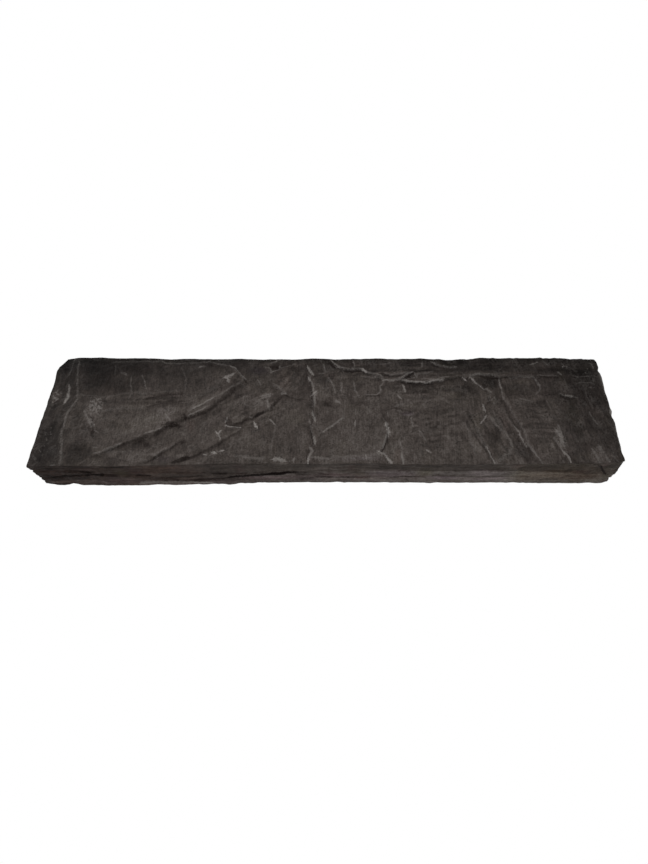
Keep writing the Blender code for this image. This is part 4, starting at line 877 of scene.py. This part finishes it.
def walls(top):
    """The walls' rings of points, from the bottom up: the layers' faces, the open beds and the lamination.

    Returns the walls' skin, and the ring where the underside begins.
    """
    a, b = rim_shares()
    spots = rim_spots()
    top_x, top_y, top_z = top.x[spots], top.y[spots], top.z[spots]
    base_x, base_y = plan(a, b, BASE_FRONT, BASE_BACK, BASE_LEFT, BASE_RIGHT)
    out_x, out_y = (a == 1).astype(float) - (a == 0), (b == 1).astype(float) - (b == 0)
    notch = along(FOOT_NOTCH, top_x) * (b == 0)
    foot = np.maximum(FOOT_HEIGHT + notch + swells(top_x, top_y, FOOT_SWELLS), FOOT_LEAST)
    share = np.linspace(0, 1, CELLS_DEEP + 1)[:-1, None]
    z, layer, open_depth, nearest = split_in_layers(foot + share * (top_z - foot), top_x, top_y)

    x, y, on_front = (np.tile(row, (CELLS_DEEP, 1)) for row in (top_x, top_y, b == 0))
    columns = np.arange(len(a))
    faces = np.stack([layer_face(number, top_x, top_y) for number in range(len(LAYER_PROUD))])
    proud = faces[layer, columns]
    below = faces[np.minimum(layer + 1, len(faces) - 1), columns]
    proud = np.where(open_depth > 0, np.minimum(proud, below) - open_depth, proud)
    proud += roughness(top_y) * swells(x, y, LAMINAE, z) + swells(x, y, CRUMBLE, z)
    near_foot = on_front * (1 - smooth(*FOOT_TOP, z))
    proud = proud * (1 - near_foot) + FOOT_OUT * near_foot
    split_off = from_line(x[on_front], z[on_front], SPALL)[0]
    proud[on_front] -= SPALL_DEPTH * smooth(0, SPALL_RUN, split_off)
    depth = (top_z - z) / ARRIS_FALL
    proud = proud * (1 - np.exp(-depth)) + ARRIS_WEAR * np.exp(-((depth - 1) ** 2))

    up = z / top_z
    knob = (a == 1) * CORNER_SWELL * (1 - smooth(*CORNER_SWELL_Y, top_y))
    knob = knob * np.exp(-(((z - CORNER_SWELL_Z[0]) / CORNER_SWELL_Z[1]) ** 2))
    skin = Skin((base_x * (1 - up) + top_x * up + out_x * proud + knob).ravel(),
                (base_y * (1 - up) + top_y * up + out_y * proud).ravel(), z.ravel())
    skin.edge, skin.bed = nearest.ravel(), (z - 0.5 * nearest).ravel()
    # Painted shade in the beds' seams, darker the deeper they are open.
    skin.dark = np.tile(np.clip(open_depth.max(axis=0) / SEAM_DEPTH, 0, 1), CELLS_DEEP)
    tones = np.stack([along(table, top_x) for table in LAYER_TONES])
    skin.tone = (tones[layer, columns] * (1 + swells(x, y, BANDS, z))).ravel()
    skin.warm, skin.olive = (np.tile(along(table, top_x), CELLS_DEEP) for table in (WALL_WARMTH, WALL_OLIVE))
    mark_front(skin, np.flatnonzero(on_front))
    inset = (FOOT_INSET + notch) * corner_ease(top_x, top_y)
    return skin, (base_x - out_x * inset, base_y - out_y * inset, 0 * a)


def mark_front(skin, some):
    """Stores the front wall's own patches, its cracks' painted shade and its pale marks, and fades the
    painted shade of its beds' plain seams.
    """
    x, z = skin.x[some], skin.z[some]
    skin.paint(some, x, z, WALL_PATCHES)
    skin.crack[some], skin.crack_strength[some] = drawn_lines(x, z, WALL_SHADE_LINES)
    skin.line[some], skin.line_strength[some] = drawn_lines(x, z, WALL_PALES)
    skin.dark[some] *= SEAM_SHARE


def underside(first_ring, first_inner):
    """The flat underside: coarse cells, the outer ones cut in fans that take in every fine point of the ring.

    Returns the inner points and the faces.
    """
    wide, deep = CELLS_ALONG // COARSE_ALONG, CELLS_ACROSS // COARSE_ACROSS
    a, b = np.meshgrid(np.arange(1, wide) / wide, np.arange(1, deep) / deep)
    x, y = plan(a.ravel(), b.ravel(), BASE_FRONT, BASE_BACK, BASE_LEFT, BASE_RIGHT)
    ring_of = {int(spot): first_ring + n for n, spot in enumerate(rim_spots())}

    def point(i, j):
        """A point by its place on the fine grid."""
        inner = first_inner + (j // COARSE_ACROSS - 1) * (wide - 1) + i // COARSE_ALONG - 1
        return ring_of.get(j * (CELLS_ALONG + 1) + i, inner)

    faces = []
    for left in range(0, CELLS_ALONG, COARSE_ALONG):
        for near in range(0, CELLS_ACROSS, COARSE_ACROSS):
            right, far = left + COARSE_ALONG, near + COARSE_ACROSS
            step_near = 1 if near == 0 else COARSE_ALONG
            step_far = 1 if far == CELLS_ACROSS else COARSE_ALONG
            step_left = 1 if left == 0 else COARSE_ACROSS
            step_right = 1 if right == CELLS_ALONG else COARSE_ACROSS
            walk = [point(i, near) for i in range(left, right, step_near)]
            walk += [point(right, j) for j in range(near, far, step_right)]
            walk += [point(i, far) for i in range(right, left, -step_far)]
            walk += [point(left, j) for j in range(far, near, -step_left)]
            if len(walk) == 4:
                faces.append(walk[::-1])
                continue
            tip = point(right if left == 0 else left, far if near == 0 else near)
            turn = walk.index(tip)
            fan = walk[turn + 1 :] + walk[:turn]
            faces += [[tip, second, first] for first, second in zip(fan[:-1], fan[1:])]
    return (x, y, 0 * x), faces


def grid_quads(columns, rows):
    """The four-sided faces of a grid with this many columns and rows of points, listed row by row."""
    start = (np.arange(rows - 1)[:, None] * columns + np.arange(columns - 1)).ravel()
    return np.stack([start, start + 1, start + columns + 1, start + columns], axis=1)


def ring_quads(lower, upper):
    """The faces between two closed rings of points."""
    return np.stack([lower, np.roll(lower, -1), np.roll(upper, -1), upper], axis=1)


def in_scene(name, data):
    """Puts a new object with this data in the scene."""
    made = bpy.data.objects.new(name, data)
    bpy.context.scene.collection.objects.link(made)
    return made


def build_slab():
    """Joins the split face, the walls and the underside in one closed mesh."""
    a, b = np.meshgrid(np.linspace(0, 1, CELLS_ALONG + 1), np.linspace(0, 1, CELLS_ACROSS + 1))
    x, y = plan(a.ravel(), b.ravel(), TOP_FRONT, TOP_BACK, TOP_LEFT, TOP_RIGHT)
    rim = rim_spots()
    rim_x, rim_y = x[rim], y[rim]
    snap_to_ledges(x, y)
    x[rim], y[rim] = rim_x, rim_y
    top = Skin(x, y, top_height(x, y))
    mark_top(top)
    wall, foot_ring = walls(top)
    first_wall = len(top.x)
    first_ring = first_wall + len(wall.x)
    first_inner = first_ring + len(rim)
    inner, under_faces = underside(first_ring, first_inner)
    parts = ((top.x, top.y, top.z), (wall.x, wall.y, wall.z), foot_ring, inner)
    points = np.concatenate([np.stack(part, axis=1) for part in parts])
    rings = [first_ring + np.arange(len(rim))]
    rings += [first_wall + level * len(rim) + np.arange(len(rim)) for level in range(CELLS_DEEP)]
    rings.append(rim)
    quads = [grid_quads(CELLS_ALONG + 1, CELLS_ACROSS + 1)]
    quads += [ring_quads(lower, upper) for lower, upper in zip(rings[:-1], rings[1:])]
    faces = np.concatenate(quads).tolist() + under_faces
    mesh = bpy.data.meshes.new("slate_slab")
    mesh.from_pydata((points * MM).tolist(), [], faces)
    for mark, start in Skin.MARKS.items():
        on_top, on_wall = getattr(top, mark), getattr(wall, mark)
        values = np.concatenate([on_top, on_wall, on_wall[: len(rim)], np.full(len(inner[0]), start)])
        store = mesh.attributes.new(mark, "FLOAT", "POINT")
        store.data.foreach_set("value", values.astype(np.float32))
    is_wall = np.zeros(len(faces), np.int32)
    is_wall[len(quads[0]) : len(faces) - len(under_faces)] = 1
    mesh.polygons.foreach_set("material_index", is_wall)
    mesh.shade_smooth()
    mesh.set_sharp_from_angle(angle=math.radians(SHARP_DEGREES))
    mesh.validate()
    return in_scene("slate_slab", mesh)


# ---------------------------------------------------------------- the finish

# Each face's mean colour, and the height of its grain in metres.
SPLIT_MEAN, SPLIT_GRAIN = (0.0322, 0.0265, 0.0236, 1), 0.0007
WALL_MEAN, WALL_GRAIN = (0.0315, 0.0258, 0.0228, 1), 0.0012
CHALK = (0.0282, 0.0266, 0.0252, 1)  # towards which slate's paler grains lean, at the same tone
WARM, OLIVE, VIOLET = (1.14, 0.92, 0.87, 1), (0.97, 1.0, 0.85, 1), (0.98, 0.95, 1.12, 1)
# Painted shade: the colour of cracks, groove floors, open seams and the feet of ledges and terraces.
DEEP_SHADE = (0.0056, 0.0036, 0.0031, 1)
# Bruised wear and painted highlight: the pale colour of bruised lines, specks and lips.
BRUISE_AND_HIGHLIGHT = (0.14, 0.129, 0.121, 1)


def plug(tree, made, inputs):
    """Sets or links a node's inputs by name or number."""
    for name, value in inputs.items():
        if isinstance(value, bpy.types.NodeSocket):
            tree.links.new(value, made.inputs[name])
        else:
            made.inputs[name].default_value = value


def node(tree, kind, inputs, **settings):
    """Adds a shader node, sets its properties, and sets or links its inputs."""
    made = tree.nodes.new("ShaderNode" + kind)
    for name, value in settings.items():
        setattr(made, name, value)
    plug(tree, made, inputs)
    return made


def calc(tree, operation, first, second=0.0, third=0.0):
    """Arithmetic on up to three values."""
    return node(tree, "Math", {0: first, 1: second, 2: third}, operation=operation).outputs[0]


def product(tree, first, *rest):
    """The product of all the values."""
    for value in rest:
        first = calc(tree, "MULTIPLY", first, value)
    return first


def ramp(tree, value, low, high, out_low=0.0, out_high=1.0):
    """Eases from out_low at low to out_high at high."""
    inputs = {"Value": value, "From Min": low, "From Max": high, "To Min": out_low, "To Max": out_high}
    return node(tree, "MapRange", inputs, interpolation_type="SMOOTHSTEP").outputs[0]


def noise(tree, place, scale, detail, rough):
    """Even noise about 0.5."""
    inputs = {"Vector": place, "Scale": scale, "Detail": detail, "Roughness": rough}
    return node(tree, "TexNoise", inputs).outputs["Fac"]


def mottle(tree, place, grain, *levels):
    """Noise of a grain (its scale, detail and roughness), eased between levels as a ramp."""
    return ramp(tree, noise(tree, place, *grain), *levels)


def blend_colour(tree, share, first, second, mode="MIX"):
    """Goes from the first colour to the second one, or to their blend in another mode."""
    return node(tree, "Mix", {0: share, 6: first, 7: second}, data_type="RGBA", blend_type=mode).outputs[2]


def object_place(tree):
    """The point's own place on the object, in metres."""
    return node(tree, "TexCoord", {}).outputs["Object"]


def attribute(tree, name):
    """A number stored on the mesh."""
    return node(tree, "Attribute", {}, attribute_name=name).outputs["Fac"]


def new_group(name, inputs, outputs, kind="Float"):
    """A new node group. An input's start says what it is: a number, a colour, or None for a vector."""
    group = bpy.data.node_groups.new(name, "ShaderNodeTree")
    for label, start in inputs.items():
        takes = "Vector" if start is None else "Color" if isinstance(start, tuple) else "Float"
        socket = group.interface.new_socket(label, in_out="INPUT", socket_type="NodeSocket" + takes)
        if start is not None:
            socket.default_value = start
    for label in outputs:
        group.interface.new_socket(label, in_out="OUTPUT", socket_type="NodeSocket" + kind)
    given, out = group.nodes.new("NodeGroupInput").outputs, group.nodes.new("NodeGroupOutput")
    return group, given, out, object_place(group)


def stone_colour_group():
    """Slate's own colour: blotches, streaks and fine flecks about a mean, times tone, with three tints. The
    tone also carries painted shade and light.
    """
    starts = {"Mean": (0.05, 0.045, 0.042, 1), "Tone": 1.0, "Streaks": None}
    starts |= {"Warm": 0.0, "Olive": 0.0, "Violet": 0.0}
    group, given, out, place = new_group("stone_colour", starts, ["Color"], "Color")
    level = product(
        group,
        given["Tone"],
        mottle(group, place, (30, 5, 0.62), 0.3, 0.7, 0.78, 1.24),
        mottle(group, place, (130, 4, 0.65), 0.3, 0.7, 0.8, 1.22),
        mottle(group, given["Streaks"], (1.0, 4, 0.6), 0.33, 0.67, 0.81, 1.22),
        mottle(group, place, (430, 4, 0.75), 0.32, 0.7, 0.72, 1.35),
    )
    tint = blend_colour(group, ramp(group, level, 0.9, 2.2, 0.0, 0.5), given["Mean"], CHALK)
    olive = calc(group, "ADD", given["Olive"], mottle(group, place, (16, 3, 0.5), 0.35, 0.65, -0.12, 0.12))
    for share, hue in ((given["Warm"], WARM), (olive, OLIVE), (given["Violet"], VIOLET)):
        tint = blend_colour(group, share, tint, blend_colour(group, 1.0, tint, hue, "MULTIPLY"))
    scaled = node(group, "VectorMath", {0: tint, "Scale": level}, operation="SCALE").outputs[0]
    plug(group, out, {"Color": scaled})
    return group


def edge_group():
    """Masks of a line's pale lip, bruised wear and painted highlight, and of its dark foot, painted shade,
    ragged by noise, from the distance to it in mm.
    """
    starts = {"Distance": 40.0, "Pale": 0.0, "Dark": 0.0}
    group, given, out, place = new_group("edge_marks", starts, ["Lip", "Foot"])
    ragged = mottle(group, place, (260, 4, 0.65), 0.25, 0.75, -1.5, 1.5)
    patchy = mottle(group, place, (75, 3, 0.6), 0.38, 0.62, 0.3, 1.0)
    moved = calc(group, "ADD", given["Distance"], ragged)
    lip = product(group, ramp(group, moved, -1.4, 0.2), ramp(group, moved, 0.8, 3.0, 1.0, 0.0))
    foot = product(group, ramp(group, moved, -5.5, -1.4), ramp(group, moved, -0.8, 0.6, 1.0, 0.0))
    lip = product(group, lip, given["Pale"], patchy)
    foot = product(group, foot, given["Dark"], patchy, 0.85)
    plug(group, out, {"Lip": lip, "Foot": foot})
    return group


def line_group():
    """Mask of a line, from the distance to it in half widths: firm for a strong one, broken for a weak."""
    starts = {"Distance": 9.0, "Strength": 0.0, "Breaks": 0.5}
    group, given, out, place = new_group("drawn_line", starts, ["Mask"])
    weak = ramp(group, given["Strength"], 0.2, 0.95, 1.0, 0.2)
    stray = mottle(group, place, (380, 5, 0.75), 0.28, 0.72, -1.1, 1.1)
    astray = product(group, stray, calc(group, "MAXIMUM", weak, 0.7))
    off = calc(group, "ABSOLUTE", calc(group, "ADD", given["Distance"], astray))
    inner = calc(group, "MULTIPLY_ADD", weak, -0.6, 0.6)
    outer = calc(group, "MULTIPLY_ADD", weak, 0.5, 1.3)
    mask = product(group, ramp(group, off, inner, outer, 1.0, 0.0), given["Strength"])
    gaps = mottle(group, place, (230, 4, 0.7), 0.36, 0.62, -1.0, 0.0)
    gaps = product(group, gaps, calc(group, "MAXIMUM", weak, 0.6))
    patchy = calc(group, "MULTIPLY_ADD", gaps, given["Breaks"], 1.0)
    plug(group, out, {"Mask": product(group, mask, patchy)})
    return group


def speck_group():
    """Mask of small pale flecks, denser where the strength is greater."""
    group, given, out, place = new_group("specks", {"Strength": 0.0}, ["Mask"])
    dense = calc(group, "MULTIPLY_ADD", given["Strength"], 0.2, noise(group, place, 210, 4, 0.7))
    mask = product(group, ramp(group, dense, 0.6, 0.8), ramp(group, given["Strength"], 0.0, 0.35))
    plug(group, out, {"Mask": mask})
    return group


GROUPS = {"colour": stone_colour_group(), "edge": edge_group(), "line": line_group(), "speck": speck_group()}


def shared(tree, name, **inputs):
    """Places one of the GROUPS. A word given for an input names the number on the mesh that feeds it."""
    for label, value in inputs.items():
        if isinstance(value, str):
            inputs[label] = attribute(tree, value)
    return node(tree, "Group", inputs, node_tree=GROUPS[name]).outputs


def slate_material(name, mean, streaks_of, bump_height):
    """One face of the stone: its colour, its worn lines, its bruises, its painted shade and highlights, and
    its grain.
    """
    material = bpy.data.materials.new(name)
    material.use_nodes = True
    tree = material.node_tree
    place = object_place(tree)
    streaks = streaks_of(tree, place)
    tints = {"Warm": "warm", "Olive": "olive", "Violet": "violet"}
    body = shared(tree, "colour", Mean=mean, Tone="tone", Streaks=streaks, **tints)
    marks = shared(tree, "edge", Distance="edge", Pale="pale", Dark="dark")
    lines = shared(tree, "line", Distance="line", Strength="line_strength", Breaks=0.7)
    cracks = shared(tree, "line", Distance="crack", Strength="crack_strength", Breaks=0.55)
    specks = shared(tree, "speck", Strength="speck")
    # Painted shade: the dark feet of ledges and terraces, groove floors, open seams, and the drawn cracks and
    # shadows.
    deep = calc(tree, "MAXIMUM", marks["Foot"], cracks["Mask"])
    # Bruised wear and painted highlight on lips, with the bruised lines and specks.
    bright = calc(tree, "MAXIMUM", marks["Lip"], lines["Mask"])
    bright = calc(tree, "MAXIMUM", bright, product(tree, specks["Mask"], 0.5))
    colour = blend_colour(tree, bright, blend_colour(tree, deep, body["Color"], DEEP_SHADE), BRUISE_AND_HIGHLIGHT)
    fine, drawn_out = noise(tree, place, 420, 4, 0.65), noise(tree, streaks, 1.6, 4, 0.6)
    grain = calc(tree, "SUBTRACT", calc(tree, "MULTIPLY_ADD", drawn_out, 0.9, fine), product(tree, deep, 0.8))
    bump = node(tree, "Bump", {"Height": grain, "Strength": 0.8, "Distance": bump_height})
    rough = mottle(tree, place, (160, 3, 0.6), 0.3, 0.7, 0.6, 0.8)
    finish = {"Base Color": colour, "Roughness": rough, "Specular IOR Level": 0.03, "Normal": bump.outputs[0]}
    plug(tree, tree.nodes["Principled BSDF"], finish)
    return material


def split_streaks(tree, place):
    """Lineation of the split face: across the slab on the left, slanting on the right."""

    def stretched(scale, degrees):
        """The place, scaled along three axes that are turned about the upright."""
        inputs = {"Vector": place, "Scale": scale, "Rotation": (0, 0, math.radians(degrees))}
        return node(tree, "Mapping", inputs).outputs[0]

    left, right = stretched((420, 60, 60), 4), stretched((330, 45, 60), -18)
    where = ramp(tree, node(tree, "SeparateXYZ", {0: place}).outputs[0], 0.17, 0.26)
    return node(tree, "Mix", {0: where, 4: left, 5: right}, data_type="VECTOR").outputs[1]


def bed_streaks(tree, place):
    """Lamination of the walls: long along them and fine in height, following the beds."""
    x, y, _ = node(tree, "SeparateXYZ", {0: place}).outputs
    height = product(tree, attribute(tree, "bed"), 0.32)
    return node(tree, "CombineXYZ", {0: product(tree, x, 16), 1: product(tree, y, 16), 2: height}).outputs[0]


SPLIT_FACE = slate_material("split_slate", SPLIT_MEAN, split_streaks, SPLIT_GRAIN)
BROKEN_WALL = slate_material("broken_slate", WALL_MEAN, bed_streaks, WALL_GRAIN)

# ---------------------------------------------------------------- the stone in its place

slab = build_slab()
slab.data.materials.append(SPLIT_FACE)
slab.data.materials.append(BROKEN_WALL)
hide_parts("slab")
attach(slab, "root")

# ---------------------------------------------------------------- floor, light and camera

FLOOR_HALF, FLOOR_DEPTH = 6.0, 0.0002  # in metres
SKY = 0.55
LIGHTS = (("key", (-2.4, 2.2, 2.6), 1.6, 175), ("fill", (0.6, -2.6, 2.4), 2.4, 85))  # size in metres, watts

CAMERA_PLACE = (-0.0142, -0.4911, 0.8687)
CAMERA_PITCH, CAMERA_YAW, CAMERA_ROLL = 60.62, -0.989, 0.724  # degrees: down, left, and about its own axis
FOCAL_PIXELS, FRAME_PIXELS, SENSOR = 519.9, 864, 36.0


def pale_floor():
    """A glowing white sheet under the stone, on which no shadow falls."""
    half, low = FLOOR_HALF, -FLOOR_DEPTH
    mesh = bpy.data.meshes.new("floor")
    corners = [(-half, -half, low), (half, -half, low), (half, half, low), (-half, half, low)]
    mesh.from_pydata(corners, [], [(0, 1, 2, 3)])
    floor = in_scene("floor", mesh)
    material = bpy.data.materials.new("pale_floor")
    material.use_nodes = True
    tree = material.node_tree
    glow = {"Base Color": (0, 0, 0, 1), "Specular IOR Level": 0.0}
    glow |= {"Emission Color": (1, 1, 1, 1), "Emission Strength": 1.0}
    plug(tree, tree.nodes["Principled BSDF"], glow)
    floor.data.materials.append(material)


def set_down(thing, turn, place):
    """Stands an object at a place, with the columns of turn as its own three axes."""
    thing.matrix_world = Matrix([[*row, p] for row, p in zip(turn, place)] + [[0, 0, 0, 1]])


def area_light(name, place, size, power):
    """A square soft box at a place, turned to face the stone."""
    data = bpy.data.lights.new(name, "AREA")
    data.shape, data.size, data.energy = "SQUARE", size, power
    back = np.array(place) / np.linalg.norm(place)
    side = np.cross([0, 0, 1], back)
    side /= np.linalg.norm(side)
    set_down(in_scene(name, data), np.stack([side, np.cross(back, side), back], axis=1), place)


def studio():
    """White surroundings, one large soft box behind and left of the stone, and a weaker one in front."""
    world = bpy.data.worlds.new("studio")
    world.use_nodes = True
    plug(world.node_tree, world.node_tree.nodes["Background"], {"Color": (1, 1, 1, 1), "Strength": SKY})
    bpy.context.scene.world = world
    for light in LIGHTS:
        area_light(*light)
    bpy.context.scene.view_settings.view_transform = "Standard"


def camera():
    """Looks down on the front wall and the top from close by, through a wide lens."""
    pitch, yaw, roll = (math.radians(angle) for angle in (CAMERA_PITCH, CAMERA_YAW, CAMERA_ROLL))
    ahead = np.array([-math.sin(yaw) * math.cos(pitch), math.cos(yaw) * math.cos(pitch), -math.sin(pitch)])
    level = np.array([math.cos(yaw), math.sin(yaw), 0.0])
    upright = np.cross(level, ahead)
    right = math.cos(roll) * level + math.sin(roll) * upright
    up = -math.sin(roll) * level + math.cos(roll) * upright
    data = bpy.data.cameras.new("camera")
    data.sensor_width = SENSOR
    data.lens = FOCAL_PIXELS * SENSOR / FRAME_PIXELS
    data.clip_start = 0.01
    view = in_scene("camera", data)
    set_down(view, np.stack([right, up, -ahead], axis=1), CAMERA_PLACE)
    bpy.context.scene.camera = view


pale_floor()
studio()
camera()
